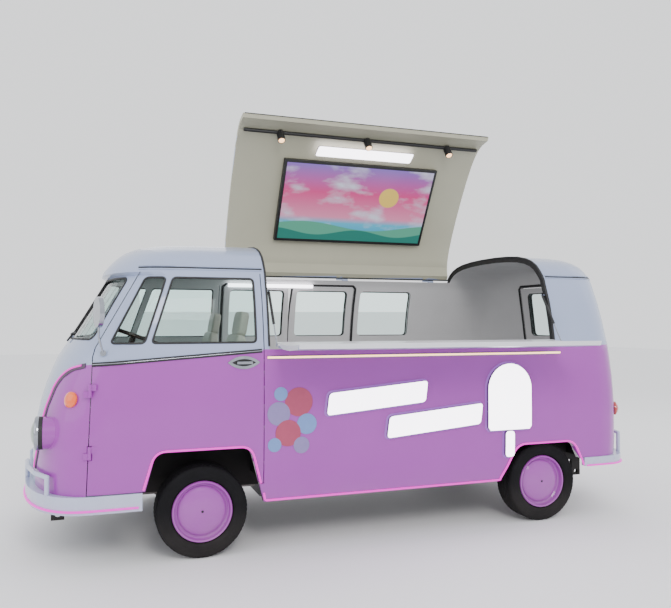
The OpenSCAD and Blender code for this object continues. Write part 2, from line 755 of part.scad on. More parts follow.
// Chassis, floor and running gear
rail_y = half_w - 590;
rail_w = 80;
floor_t = 30;
rail_top = floor_z - floor_t;
axle_z = tyre_r;
beam_r = 35;
spring_h = 15;
rail_low = axle_z + beam_r + spring_h;
battery_x0 = rear_axle_x + 480;
battery_x1 = front_axle_x - 540;
battery_low_z = 250;
CROSS = [tail_x + 287, rear_axle_x + 380, front_axle_x - 440, front_axle_x + 460, nose_x - 371];
OUTRIGGERS = [battery_x0 + 120, battery_x1 - 460];
outrigger_z = rail_low + 20;
tow_r = 20;
tow_z = 250;
tow_plate = 45;
TOWS = [[nose_x - 190, 1], [tail_x + 190, -1]];
module chassis() {
  color(graphite) difference() {
    union() {
      both_sides() slab(tail_x + 160, nose_x - 330, rail_y, rail_y + rail_w, rail_low, rail_top);
      for (x = CROSS) slab(x - 40, x + 40, -rail_y - 1, rail_y + 1, rail_low + 10, rail_top - 10);
      both_sides() for (x = OUTRIGGERS)
        slab(x - 30, x + 30, rail_y + rail_w - 1, half_at(outrigger_z) - wall - seat_clear, outrigger_z,
             outrigger_z + 40);
      for (t = TOWS) {
        slab(min(t[0] - 260 * t[1], t[0]), max(t[0] - 260 * t[1], t[0]), rail_y + 20, rail_y + 50,
             rail_low + 1, rail_top - 20);
        slab(t[0] - tow_plate, t[0] + tow_plate, rail_y + 20, rail_y + 50, tow_z - 35, rail_top - 20);
      }
    }
    for (t = TOWS) translate([t[0], 0, tow_z]) rotate([-90, 0, 0]) cylinder(r = tow_r, h = far);
  }
}
module battery_pack() {
  color("#4a4d52")
    slab(battery_x0, battery_x1, seat_clear - rail_y, rail_y - seat_clear,
      battery_low_z, rail_top - seat_clear);
}
box_t = 8;
// Wheel boxes. Columns: x, inner y, top z.
BOXES = [
  [front_axle_x, half_w - 470, front_arch_z + 25],
  [rear_axle_x, half_w - 288, rear_arch_z + 25]
];
box_half = tyre_r + 112;
module box_space(b, grow) {
  both_sides() slab(b[0] - box_half - grow, b[0] + box_half + grow, b[1] - grow, half_w, 0, b[2] + grow);
}
module floor_shape(h) {
  translate([0, 0, rail_top]) linear_extrude(h) polygon(outline_at(rail_top, wall + 8));
}
module floor_pan() {
  color("#8d9096") difference() {
    floor_shape(floor_t);
    for (b = BOXES) box_space(b, box_t + seat_clear);
  }
}
module wheel_boxes() {
  color("#8d9096") difference() {
    intersection() {
      for (b = BOXES) box_space(b, box_t);
      floor_shape(600);
    }
    for (b = BOXES) box_space(b, 0);
  }
}
king_y = half_w - 320;
hub_y = half_w - 310;
king_r = 16;
steer_h = 108;
wheel_y = track_face_y - tyre_w / 2;
module spring(x) {
  both_sides() slab(x - 480, x + 480, rail_y + 10, rail_y + rail_w - 10, axle_z + beam_r - 1, rail_low);
}
module front_axle() {
  color(steel) {
    translate([front_axle_x, -king_y + 45, axle_z]) rotate([-90, 0, 0])
      cylinder(r = beam_r, h = 2 * king_y - 90);
    spring(front_axle_x);
    both_sides() translate([front_axle_x, king_y, axle_z]) {
      cylinder(r = king_r, h = steer_h + 42, center = true);
      slab(-30, 30, -58, -40, -steer_h / 2 - 21, steer_h / 2 + 21);
      for (s = [-1, 1]) slab(-30, 30, -58, 26, s * (steer_h / 2 + 11) - 10, s * (steer_h / 2 + 11) + 10);
    }
  }
}
module knuckle() {
  color(steel) translate([front_axle_x, king_y, axle_z]) difference() {
    union() {
      cylinder(r = king_r + 12, h = steer_h, center = true);
      translate([0, king_r + 4, 0]) rotate([-90, 0, 0])
        cylinder(r = spindle_r, h = wheel_y + 20 - king_y - king_r);
    }
    cylinder(r = king_r + run_clear, h = far, center = true);
  }
}
module knuckle_left() {
  knuckle();
}
module knuckle_right() {
  mirror([0, 1, 0]) knuckle();
}
drive_r = rail_top - axle_z - 50;
module rear_axle() {
  color(steel) {
    translate([rear_axle_x, -hub_y, axle_z]) rotate([-90, 0, 0]) cylinder(r = beam_r, h = 2 * hub_y);
    translate([rear_axle_x, -wheel_y - 24, axle_z]) rotate([-90, 0, 0])
      cylinder(r = spindle_r, h = 2 * wheel_y + 48);
    translate([rear_axle_x, 0, axle_z]) sphere(drive_r);
    translate([rear_axle_x, 0, axle_z]) rotate([-90, 0, 0]) cylinder(r = drive_r - 25, h = rail_y - 60);
    spring(rear_axle_x);
  }
}
module rounded_box(w, h, r) {
  square([w - 2 * r, h], center = true);
  square([w, h - 2 * r], center = true);
  for (i = [-1, 1], j = [-1, 1]) translate([i * (w / 2 - r), j * (h / 2 - r)]) circle(r);
}
module tyre(x, side) {
  color("#18181a") translate([x, side * wheel_y, axle_z]) rotate([90, 0, 0]) rotate_extrude()
    translate([(tyre_r + rim_r + seat_clear) / 2, 0]) rounded_box(tyre_r - rim_r - seat_clear, tyre_w, 36);
}
cap_r = rim_r - 39;
rim_half = tyre_w / 2 - 13.5;
cap_h = 34;
function cap_arc() = [for (i = [0:8]) let (t = 90 * i / 8) [cap_r * cos(t), 50 + cap_h * sin(t)]];
module wheel(x, side) {
  color(pink) translate([x, side * wheel_y, axle_z]) rotate([-90 * side, 0, 0]) difference() {
    rotate_extrude() polygon(concat(
      [[0, -20], [58, -20], [58, 24], [rim_r - 13, 24], [rim_r - 13, -rim_half], [rim_r, -rim_half],
       [rim_r, rim_half], [rim_r - 5, rim_half + 7], [rim_r - 14, rim_half + 4], [rim_r - 21, 56],
       [rim_r - 31, 48],
       [cap_r, 48]],
      cap_arc()));
    translate([0, 0, -far]) cylinder(r = spindle_r + run_clear, h = far + 24 + knuckle_gap);
  }
}
module tyre_front_left() {
  tyre(front_axle_x, 1);
}
module tyre_front_right() {
  tyre(front_axle_x, -1);
}
module tyre_rear_left() {
  tyre(rear_axle_x, 1);
}
module tyre_rear_right() {
  tyre(rear_axle_x, -1);
}
module wheel_front_left() {
  wheel(front_axle_x, 1);
}
module wheel_front_right() {
  wheel(front_axle_x, -1);
}
module wheel_rear_left() {
  wheel(rear_axle_x, 1);
}
module wheel_rear_right() {
  wheel(rear_axle_x, -1);
}

// Cab fittings
dash_in = 190;
module dashboard() {
  color("#5b5560") translate([0, 0, cowl_z - 130]) linear_extrude(90) intersection() {
    polygon(outline_at(cowl_z - 40, wall + seat_clear));
    translate([nose_x - 440, dash_in - half_w]) square([far, body_w - 2 * dash_in]);
  }
}
seat_y = half_w - 390;
steer_lean = 20;
steer_x = nose_x - 701;
steer_z = cowl_z + 45;
steer_r = 190;
column_l = (cowl_z - floor_z) / cos(steer_lean);
module steering_wheel() {
  color(graphite) translate([steer_x, seat_y, steer_z]) rotate([0, -steer_lean, 0]) {
    rotate_extrude() translate([steer_r, 0]) circle(14);
    for (a = [90, 210, 330]) rotate([0, 90, a]) cylinder(r = 9, h = steer_r);
    cylinder(r = 45, h = 30, center = true);
    translate([0, 0, -column_l]) cylinder(r = 22, h = column_l);
  }
  color(graphite) translate([steer_x + column_l * sin(steer_lean), seat_y, floor_z])
    cylinder(r = 32, h = 110);
}
// Seats on the front wheel boxes
seat_half = 240;
seat_base_z = BOXES[0][2] + box_t;
cushion_z = seat_base_z + 97;
cushion_t = 110;
back_lean = 10;
back_h = 600;
rest_h = 190;
module seat() {
  slab(10 - seat_half, seat_half - 10, 10 - seat_half, seat_half - 10, seat_base_z, cushion_z);
  slab(-seat_half, seat_half, -seat_half, seat_half, cushion_z, cushion_z + cushion_t);
  translate([35 - seat_half, 0, cushion_z + cushion_t - 40]) rotate([0, -back_lean, 0]) {
    slab(-60, 40, 10 - seat_half, seat_half - 10, 0, back_h);
    slab(-63, 17, -130, 130, back_h - 20, back_h - 20 + rest_h);
  }
}
module seats() {
  color("#cbbfae") both_sides() translate([front_axle_x + 10, seat_y, 0]) seat();
}

// Bumpers
band_out = 10;
module band(front, z0, z1) {
  translate([0, 0, z0]) linear_extrude(z1 - z0) difference() {
    polygon(outline(half_at(z1) + band_out, nose_x + front_bumper_reach, tail_x - rear_bumper_reach, 0));
    polygon(outline(half_at(z1) - 30, nose_x - 40, tail_x + 40, 0));
    translate([front ? -far : rear_axle_x - rear_arch_half + 30, -far])
      square([front ? far + front_axle_x + front_arch_half - 20 : 2 * far, 2 * far]);
  }
}
// Guard bars, by the distance of their corners from the body's side
GUARD = [760, 530, 310, 150];
guard_in = 15;
module guard(tip_x, turn, reach, power, foot_z, top_z) {
  row = [
    for (g = GUARD) let (y = half_w - g)
      [-guard_in - set_back(y, reach, half_at(top_z) + band_out, power), y, top_z]
  ];
  down = [0, 0, foot_z - top_z];
  translate([tip_x, 0, 0]) rotate([0, 0, turn]) both_sides()
    bar(concat([row[0] + down], row, [row[3] + down]), guard_r);
}
module front_bumper() {
  top_z = nose_bottom_z - door_gap;
  color("#e6e8ee") {
    band(true, front_bumper_z, top_z - seat_clear);
    guard(overall_l / 2, 0, nose_round, nose_power, top_z, top_z + front_guard_h);
  }
}
module rear_bumper() {
  color("#e6e8ee") {
    band(false, rear_bumper_z, tail_bottom_z - seat_clear);
    guard(-overall_l / 2, 180, tail_round, tail_power, tail_bottom_z, tail_bottom_z + rear_guard_h);
  }
}
module headlamps() {
  color(shine) both_sides() translate([lamp_x, lamp_y, lamp_z]) rotate([0, 90, 0]) {
    translate([0, 0, -lamp_l]) cylinder(r = lamp_r, h = lamp_l);
    intersection() {
      translate([0, 0, -130]) sphere(170);
      cylinder(r = lamp_r - 12, h = 60);
    }
  }
}
lens_t = 14;
lens_back = 60;
module marker_lamps() {
  color("#e08a2c") both_sides() for (m = MARKERS) at_marker(m) {
    translate([0, 0, -60]) cylinder(r = stem_r, h = 70);
    translate([0, 0, seat_clear]) cylinder(r = m[5], h = lens_t);
    translate([0, 0, seat_clear + lens_t]) intersection() {
      translate([0, 0, -lens_back]) sphere(norm([m[5], lens_back]));
      cylinder(r = m[5], h = 50);
    }
  }
}

chassis();
battery_pack();
floor_pan();
wheel_boxes();
front_axle();
rear_axle();
nose();
windscreen_frame();
cab_roof();
side_left();
side_right();
tail_upper();
tail_lower();
windscreen_glass();
side_glass();
dashboard();
steering_wheel();
seats();
front_bumper();
rear_bumper();
headlamps();
marker_lamps();
hinges();
door_left();
door_left_glass();
door_left_fittings();
door_right();
door_right_glass();
door_right_fittings();
cargo_door_front();
cargo_door_front_glass();
cargo_door_rear();
cargo_door_rear_glass();
rear_door();
rear_door_glass();
hatch_shell();
hatch_screen();
light_track();
counter();
strut_barrels();
strut_rods();
knuckle_left();
knuckle_right();
tyre_front_left();
tyre_front_right();
tyre_rear_left();
tyre_rear_right();
wheel_front_left();
wheel_front_right();
wheel_rear_left();
wheel_rear_right();
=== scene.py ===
from functools import partial

import bmesh
import bpy
import numpy as np
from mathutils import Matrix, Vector


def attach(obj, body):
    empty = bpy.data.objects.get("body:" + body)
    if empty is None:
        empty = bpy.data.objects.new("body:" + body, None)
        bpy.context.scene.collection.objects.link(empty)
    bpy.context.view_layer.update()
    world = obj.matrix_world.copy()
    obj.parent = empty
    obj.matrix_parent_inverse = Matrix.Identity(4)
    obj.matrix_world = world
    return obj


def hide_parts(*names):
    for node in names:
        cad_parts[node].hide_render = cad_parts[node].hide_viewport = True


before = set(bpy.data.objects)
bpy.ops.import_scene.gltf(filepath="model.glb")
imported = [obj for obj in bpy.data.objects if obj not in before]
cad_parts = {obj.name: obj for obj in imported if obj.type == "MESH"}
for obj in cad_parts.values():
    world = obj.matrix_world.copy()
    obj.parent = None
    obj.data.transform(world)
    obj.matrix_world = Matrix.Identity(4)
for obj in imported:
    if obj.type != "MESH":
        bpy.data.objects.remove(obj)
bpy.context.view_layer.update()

# Studio: a pale seamless floor, the strongest light over the serving side, wide soft ones from the other
# sides and a white surround. The camera stands at eye height by the front left corner.


def stacked(*axes):
    """Points from their coordinates, each an array or one value for all."""
    return np.stack(np.broadcast_arrays(*axes), -1)


def mesh_of(name, surfaces):
    """One mesh from surfaces (points as rows x columns x 3, round_rows, round_columns), with its seams
    and poles merged, its faces turned outwards and a UV map that runs 0 to 1 over each grid. A round
    direction joins its last line to its first."""
    points, faces, maps, start = [], [], [], 0
    for grid, round_rows, round_columns in surfaces:
        rows, columns = grid.shape[:2]
        i, j = np.arange(rows - (not round_rows))[:, None], np.arange(columns - (not round_columns))
        up, right = (i + 1) % rows * columns, (j + 1) % columns
        face = stacked(i * columns + j, i * columns + right, up + right, up + j).reshape(-1, 4)
        v, u = np.divmod(face, columns)
        maps.append(stacked(u / max(columns - 1, 1), v / max(rows - 1, 1)).reshape(-1, 2))
        points.append(grid.reshape(-1, 3))
        faces.append(face + start)
        start += rows * columns
    points, faces, maps = np.concatenate(points), np.concatenate(faces), np.concatenate(maps)
    mesh = bpy.data.meshes.new(name)
    mesh.from_pydata(points, [], faces, shade_flat=False)
    mesh.uv_layers.new(name="UVMap").data.foreach_set("uv", maps.astype(np.float32).ravel())
    work = bmesh.new()
    work.from_mesh(mesh)
    bmesh.ops.remove_doubles(work, verts=work.verts, dist=2e-6)
    bmesh.ops.recalc_face_normals(work, faces=work.faces)
    work.to_mesh(mesh)
    work.free()
    return mesh


def shown(name, data):
    """A new object of the scene, at the origin."""
    obj = bpy.data.objects.new(name, data)
    bpy.context.scene.collection.objects.link(obj)
    return obj


def coat(name, **values):
    """A new material, its tree and its shader, whose sockets take the values by name."""
    material = bpy.data.materials.new(name)
    material.use_nodes = True
    shader = material.node_tree.nodes["Principled BSDF"]
    for key, value in values.items():
        shader.inputs[key.replace("_", " ")].default_value = value
    return material, material.node_tree, shader


floor_half = 30.0
u, v = np.meshgrid(*[np.linspace(-floor_half, floor_half, 9)] * 2)
floor_mesh = mesh_of("studio_floor", [(stacked(u, v, 0 * u), False, False)])
floor_mesh.materials.append(coat("studio_floor", Base_Color=(0.91, 0.91, 0.92, 1), Roughness=0.8)[0])
studio_floor = shown("studio_floor", floor_mesh)

surround = bpy.data.worlds.new("white_surround")
surround.use_nodes = True
backdrop = surround.node_tree.nodes["Background"]
backdrop.inputs["Color"].default_value = (0.97, 0.98, 1.0, 1)
backdrop.inputs["Strength"].default_value = 1.45
bpy.context.scene.world = surround
for name, place, goal, size, power, tint in (
        ("serving_side_light", (1.0, 7.5, 5.5), (0, 0, 1.0), 2.4, 260, (1.0, 0.98, 0.97)),
        ("front_light", (7.5, 2.5, 4.0), (1.5, 0, 1.0), 6.0, 110, (0.97, 0.98, 1.0)),
        ("far_side_light", (-2.0, -7.5, 5.0), (0, 0, 1.2), 7.0, 120, (0.97, 0.98, 1.0)),
        ("tail_light", (-8.0, 1.0, 4.5), (-1.5, 0, 1.2), 6.0, 80, (1.0, 0.99, 0.97))):
    lamp = bpy.data.lights.new(name, "AREA")
    lamp.size, lamp.energy, lamp.color = size, power, tint
    light = shown(name, lamp)
    light.location = place
    light.rotation_euler = (Vector(goal) - Vector(place)).to_track_quat("-Z", "Y").to_euler()

camera_yaw, camera_pitch = np.radians(18.21), np.radians(1.52)
gaze = Vector((-np.sin(camera_yaw) * np.cos(camera_pitch), -np.cos(camera_yaw) * np.cos(camera_pitch),
               np.sin(camera_pitch)))
camera_data = bpy.data.cameras.new("photo_view")
camera_data.sensor_width, camera_data.lens, camera_data.shift_x = 36.0, 35.37, 0.0411
camera = shown("photo_view", camera_data)
camera.location = (2.045, 5.488, 1.637)
camera.rotation_euler = gaze.to_track_quat("-Z", "Y").to_euler()
bpy.context.scene.camera = camera

# Chassis, battery case, axles and knuckles: welded box rails and forged steel, brushed with black
# underbody paint or left as dull steel, all with road dust on what lies low.


def blend_nodes(tree, kind, sockets=None, **settings):
    """One shader node with its settings; each socket takes a constant or a link from another node."""
    node = tree.nodes.new("ShaderNode" + kind)
    for key, value in settings.items():
        setattr(node, key, value)
    for key, value in (sockets or {}).items():
        if isinstance(value, bpy.types.NodeSocket):
            tree.links.new(value, node.inputs[key])
        else:
            node.inputs[key].default_value = value
    return node


def shade(red, green, blue, dim=1.0):
    """A colour given as 0 to 255 display values, turned to linear light and dimmed."""
    c = np.array([red, green, blue]) / 255
    linear = np.where(c <= 0.04045, c / 12.92, ((c + 0.055) / 1.055) ** 2.4)
    return (*(dim * linear).tolist(), 1.0)


def shader_group(name, values, results):
    """A shader node group with float inputs by name and value, and outputs by name and kind."""
    tree = bpy.data.node_groups.new(name, "ShaderNodeTree")
    for key, value in values.items():
        tree.interface.new_socket(key, in_out="INPUT", socket_type="NodeSocketFloat").default_value = value
    for key, kind in results.items():
        tree.interface.new_socket(key, in_out="OUTPUT", socket_type="NodeSocket" + kind)
    return tree, tree.nodes.new("NodeGroupInput").outputs, tree.nodes.new("NodeGroupOutput").inputs


def reckon(tree, operation, first, second=0.0):
    """One step of arithmetic in a shader."""
    return blend_nodes(tree, "Math", {0: first, 1: second}, operation=operation).outputs[0]


def ramp(tree, value, start, end, low=0.0, high=1.0):
    """A number that runs straight from low to high as the value goes from start to end."""
    sockets = {"Value": value, "From Min": start, "From Max": end, "To Min": low, "To Max": high}
    return blend_nodes(tree, "MapRange", sockets).outputs["Result"]


def noise(tree, place, scale, detail):
    """Soft clouds of numbers between 0 and 1 over a place."""
    return blend_nodes(tree, "TexNoise", {"Vector": place, "Scale": scale, "Detail": detail}).outputs["Fac"]


grain, given, result = shader_group(
    "grain", {"Scale": 60, "Fine Scale": 600, "Bump": 0.1}, {"Patches": "Float", "Normal": "Vector"})
place = blend_nodes(grain, "TexCoord").outputs["Object"]
fine = noise(grain, place, given["Fine Scale"], 2.0)
raised = blend_nodes(grain, "Bump", {"Strength": given["Bump"], "Distance": 0.002, "Height": fine})
grain.links.new(noise(grain, place, given["Scale"], 4.0), result["Patches"])
grain.links.new(raised.outputs["Normal"], result["Normal"])

road_dust, given, result = shader_group("road_dust", {"Top": 0.7, "Amount": 0.5}, {"Mask": "Float"})
place = blend_nodes(road_dust, "TexCoord").outputs["Object"]
height = blend_nodes(road_dust, "SeparateXYZ", {"Vector": place}).outputs["Z"]
low = ramp(road_dust, height, given["Top"], 0.15)
thin = reckon(road_dust, "MULTIPLY", noise(road_dust, place, 5.0, 6.0), low)
road_dust.links.new(reckon(road_dust, "MULTIPLY", thin, given["Amount"]), result["Mask"])
dust_colour = shade(168, 158, 150)


def mixed(tree, share, first, second):
    """A colour that goes from first to second with the share."""
    return blend_nodes(tree, "Mix", {0: share, 6: first, 7: second}, data_type="RGBA").outputs[2]


def finish(name, colour, second, rough, scale=8, fine=500, bump=0.08, dust=0.0, dust_top=0.7, dim=1.0,
           **sockets):
    """A material whose colour drifts between two shades in soft patches, whose roughness runs between
    two values with a fine grain that also raises its surface, with road dust on its low parts."""
    material, tree, shader = coat(name, **sockets)
    detail = blend_nodes(tree, "Group", {"Scale": scale, "Fine Scale": fine, "Bump": bump}, node_tree=grain)
    base = mixed(tree, detail.outputs["Patches"], shade(*colour, dim), shade(*second, dim))
    if dust:
        dusty = blend_nodes(tree, "Group", {"Top": dust_top, "Amount": dust}, node_tree=road_dust)
        base = mixed(tree, dusty.outputs["Mask"], base, dust_colour)
    tree.links.new(base, shader.inputs["Base Color"])
    tree.links.new(ramp(tree, detail.outputs["Patches"], 0.3, 0.7, *rough), shader.inputs["Roughness"])
    tree.links.new(detail.outputs["Normal"], shader.inputs["Normal"])
    return material


def vectors(items, key):
    """A vector of each of a mesh's items, as rows."""
    values = np.empty(3 * len(items), np.float32)
    items.foreach_get(key, values)
    return values.reshape(-1, 3).astype(float)


def dress(nodes, *materials, choose=None):
    """Gives CAD nodes their materials; choose turns the centres and normals of faces to their numbers."""
    for node in nodes.split():
        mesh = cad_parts[node].data
        mesh.materials.clear()
        for material in materials:
            mesh.materials.append(material)
        if choose is not None:
            numbers = choose(vectors(mesh.polygons, "center"), vectors(mesh.polygons, "normal"))
            mesh.polygons.foreach_set("material_index", np.asarray(numbers, np.int32))
        mesh.update()


chassis_paint = finish(
    "chassis_paint", (13, 13, 15), (22, 21, 22), (0.5, 0.7), bump=0.25, dust=0.12, Specular_IOR_Level=0.2)
battery_case = finish("battery_case", (66, 69, 74), (80, 82, 86), (0.4, 0.55), bump=0.2, dust=0.35)
axle_steel = finish(
    "axle_steel", (92, 92, 94), (120, 114, 108), (0.35, 0.6), scale=20, bump=0.3, dust=0.3, Metallic=0.85)
dress("chassis", chassis_paint)
dress("battery_pack", battery_case)
dress("front_axle rear_axle knuckle_left knuckle_right", axle_steel)

# Floor and wheel boxes: ply and steel under a grey sheet of studded vinyl that is swept daily. The wheels'
# side of each box, and what faces the road, is black underbody paint.
floor_vinyl = finish(
    "floor_vinyl", (128, 130, 136), (146, 147, 150), (0.45, 0.6), scale=14, fine=220, bump=0.35, dust=0.25)
front_axle_x, rear_axle_x = 1.3, -1.5
wheel_spaces = [(front_axle_x, 0.48, 0.777), (rear_axle_x, 0.662, 0.665)]  # middle x, inner y, top
wheel_space_half = 0.432


def road_side(centre, normal):
    """Face numbers: 1 for faces that look into a wheel's space or down to the road, 0 for the rest."""
    x, y, z = (centre + 0.02 * normal).T
    black = normal[:, 2] < -0.7
    for middle_x, inner, top in wheel_spaces:
        black |= (np.abs(x - middle_x) < wheel_space_half) & (np.abs(y) > inner) & (z < top)
    return black


dress("floor_pan wheel_boxes", floor_vinyl, chassis_paint, choose=road_side)

# Body skin: pressed panels in two gloss paints, lilac pink under the belt line and on the doors, white
# above it and inside the curved line that falls across the nose; the white carries painted shade: it is set
# to a bluish grey, the look of white paint in shade under the sky. The inside is grey lining board, and
# black rubber edges the openings over the belt line.
body_levels = [  # height, half-width, nose x, tail x
    (0.360, 0.915, 2.430, -2.420), (0.479, 0.937, 2.447, -2.432), (0.652, 0.945, 2.451, -2.437),
    (0.900, 0.950, 2.430, -2.435), (1.051, 0.950, 2.400, -2.425), (1.181, 0.950, 2.363, -2.412),
    (1.289, 0.948, 2.322, -2.398), (1.370, 0.947, 2.287, -2.386), (1.440, 0.945, 2.244, -2.374),
    (1.510, 0.934, 2.196, -2.364), (1.650, 0.910, 2.110, -2.348), (1.799, 0.876, 2.020, -2.330),
    (1.960, 0.822, 1.925, -2.312), (1.985, 0.815, 1.965, -2.307), (2.020, 0.797, 1.955, -2.300),
    (2.070, 0.760, 1.915, -2.285), (2.118, 0.716, 1.868, -2.262), (2.160, 0.650, 1.815, -2.225),
    (2.190, 0.570, 1.750, -2.187), (2.213, 0.460, 1.660, -2.127), (2.228, 0.300, 1.520, -2.037),
    (2.235, 0.120, 1.351, -1.937)]
level_z = np.array(body_levels)[:, 0]
half_at, nose_at, tail_at = [partial(np.interp, xp=level_z, fp=row) for row in np.array(body_levels).T[1:]]
nose_round, nose_power, tail_round, tail_power = 0.48, 2.4, 0.40, 2.8


def rounding(x, z):
    """How far x lies into the rounded nose and the rounded tail: 0 where they start, 1 at their tips."""
    front = (x - nose_at(z) + nose_round) / nose_round
    back = (tail_at(z) + tail_round - x) / tail_round
    return np.maximum(front, 0), np.maximum(back, 0)


def side_y(x, z):
    """Half-width of the skin at x and z: straight sides, then superellipse corners to nose and tail."""
    front, back = [np.minimum(share, 1) for share in rounding(x, z)]
    return (half_at(z) * (1 - front ** nose_power) ** (1 / nose_power)
            * (1 - back ** tail_power) ** (1 / tail_power))


def set_back(y, z, length, power):
    """How far the skin has drawn back at y from the tip of nose or tail, on the same superellipse."""
    share = np.clip(np.abs(y) / half_at(z), 0, 1)
    return length * (1 - (1 - share ** power) ** (1 / power))


def front_x(y, z):
    """Place of the nose skin at y and z."""
    return nose_at(z) - set_back(y, z, nose_round, nose_power)


def back_x(y, z):
    """Place of the tail skin at y and z."""
    return tail_at(z) + set_back(y, z, tail_round, tail_power)


def skin_value(p):
    """How far p lies out of the skin: negative inside, 0 on it, growing outwards."""
    x, y, z = np.moveaxis(p, -1, 0)
    front, back = rounding(x, z)
    across = np.abs(y) / half_at(z)
    ahead = front ** nose_power + across ** nose_power
    behind = back ** tail_power + across ** tail_power
    return np.where(front > 0, ahead, np.where(back > 0, behind, across ** nose_power)) - 1


def unit(v):
    """Each vector at length 1."""
    return v / np.maximum(np.linalg.norm(v, axis=-1, keepdims=True), 1e-12)


def skin_slope(p, reach=0.035):
    """Change of the skin's value along x, y and z, over a reach that smooths the bends between levels."""
    steps = np.eye(3) * np.array([0.004, 0.004, reach])
    return stacked(*[(skin_value(p + s) - skin_value(p - s)) / (2 * np.linalg.norm(s)) for s in steps])


def turned(p, angle, axis=np.zeros(3)):
    """Points turned about an axis along x, through a point."""
    c, s = np.cos(angle), np.sin(angle)
    return (p - axis) @ np.array([[1, 0, 0], [0, c, s], [0, -s, c]]) + axis


def polish(node, angle=0.0, axis=np.zeros(3)):
    """Smooth gloss: face corners within 16 degrees of the skin's own slope take that slope as their normal.
    A piece that is parked open is turned shut first, and its normals turned back."""
    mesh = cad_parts[node].data
    corner = np.empty(len(mesh.loops), np.int32)
    mesh.loops.foreach_get("vertex_index", corner)
    shut = turned(vectors(mesh.vertices, "co")[corner], -angle, axis)
    smooth = turned(unit(skin_slope(shut)), angle)
    flat = np.repeat(vectors(mesh.polygons, "normal"), 3, 0)
    agree = (smooth * flat).sum(1, keepdims=True)
    near = np.abs(agree) > np.cos(np.radians(16))
    mesh.polygons.foreach_set("use_smooth", np.ones(len(mesh.polygons), bool))
    mesh.normals_split_custom_set(np.where(near, np.sign(agree) * smooth, flat).tolist())


def outside_only(angle=0.0, axis=np.zeros(3), depth=0.02, low=0.0):
    """Face numbers: 0 for faces within depth of the skin and the roof's crown, where depth can't be told,
    1 for those further in, 2 for those under low."""
    def numbers(centre, normal):
        p = turned(centre, -angle, axis)
        away = skin_value(p) / np.maximum(np.linalg.norm(skin_slope(p), axis=1), 1e-9)
        crown = (p[:, 2] > 2.2) & (turned(normal, -angle)[:, 2] > 0.5)
        inner = (away < -depth) & ~crown
        return inner.astype(int) + (inner & (centre[:, 2] < low))
    return numbers


v_line = [(0.45, 0.440), (0.62, 0.480), (0.72, 0.520), (0.90, 0.560), (1.10, 0.600), (1.225, 0.640),
          (1.31, 0.737), (1.358, 0.884)]  # height, distance from the middle
v_low, v_end, v_from_x, paint_edge = 0.4, (1.4, 0.99), 1.9, 0.0012
belt_z, door_belt_z, door_back_x, belt_fall = 1.44, 1.431, 0.886, 0.0705
two_tone, given, result = shader_group("two_tone", {}, {"White": "Float"})
tone = partial(reckon, two_tone)
place = blend_nodes(two_tone, "TexCoord").outputs["Object"]
axes = blend_nodes(two_tone, "SeparateXYZ", {"Vector": place}).outputs
fall = tone("MULTIPLY", tone("MAXIMUM", tone("SUBTRACT", axes["X"], door_back_x), 0.0), belt_fall)
step = tone("MULTIPLY", tone("LESS_THAN", axes["X"], door_back_x), belt_z - door_belt_z)
line = tone("ADD", tone("SUBTRACT", door_belt_z, fall), step)
above = ramp(two_tone, tone("SUBTRACT", axes["Z"], line), -paint_edge, paint_edge)
bend = blend_nodes(two_tone, "FloatCurve", {"Value": tone("SUBTRACT", axes["Z"], v_low)})
points = bend.mapping.curves[0].points
for k, (z, y) in enumerate(v_line + [v_end]):
    if k < 2:
        points[k].location = (z - v_low, y)
    else:
        points.new(z - v_low, y)
bend.mapping.update()
inside = tone("SUBTRACT", bend.outputs["Value"], tone("ABSOLUTE", axes["Y"]))
inside = ramp(two_tone, inside, -paint_edge, paint_edge)
ahead = tone("GREATER_THAN", axes["X"], v_from_x)
two_tone.links.new(tone("MAXIMUM", above, tone("MULTIPLY", inside, ahead)), result["White"])

pinks = (160, 66, 170), (154, 61, 164)
# painted shade: the white paint's two tones are dimmed to a bluish grey, its look in shade under the sky
shaded_whites = (158, 170, 199), (152, 164, 194)


def gloss_paint(name, colours, both=False):
    """Gloss coat over colour: a faint ripple in the clear coat, soft drift in the colour, dust at the sills.
    With both, white takes over past the belt line and the line across the nose."""
    material = finish(
        name, *colours, (0.28, 0.36), scale=3, fine=190, bump=0.012, dust=0.25, dust_top=0.55,
        Coat_Weight=0.6, Coat_Roughness=0.05, Specular_IOR_Level=0.2)
    tree = material.node_tree
    if both:
        detail = next(n for n in tree.nodes if n.type == "GROUP")
        upper = mixed(tree, detail.outputs["Patches"], *[shade(*c) for c in shaded_whites])
        mask = blend_nodes(tree, "Group", node_tree=two_tone).outputs["White"]
        dusty = tree.nodes["Principled BSDF"].inputs["Base Color"].links[0].from_node
        lower = dusty.inputs[6].links[0].from_socket
        tree.links.new(mixed(tree, mask, lower, upper), dusty.inputs[6])
    return material


body_paint = gloss_paint("two_tone_paint", pinks, True)
white_paint = gloss_paint("white_paint", shaded_whites)
pink_paint = gloss_paint("pink_paint", pinks)
lining = finish("lining_board", (206, 205, 206), (198, 197, 198), (0.5, 0.62), scale=5, fine=420, bump=0.12)
rubber = finish("black_rubber", (20, 20, 22), (32, 32, 34), (0.5, 0.7), scale=30, fine=900, bump=0.2)
skirt_z, opening_z, eave_z = 0.42, 1.46, 2.1


def panel_kinds(centre, normal):
    """Face numbers as outside_only gives them, and 3 for upper cut edges, which a rubber edging covers."""
    square = np.abs((normal * unit(skin_slope(centre))).sum(1)) < 0.35
    high = (centre[:, 2] > opening_z) & ((centre[:, 2] < eave_z) | (np.abs(normal[:, 0]) > 0.9))
    return np.where(square & high, 3, outside_only(low=skirt_z)(centre, normal))


panels = "nose windscreen_frame cab_roof side_left side_right tail_upper tail_lower"
leaves = "door_left door_right cargo_door_front cargo_door_rear rear_door"
for node in panels.split() + leaves.split():
    dress(node, body_paint, lining, chassis_paint, rubber, choose=panel_kinds)
    polish(node)
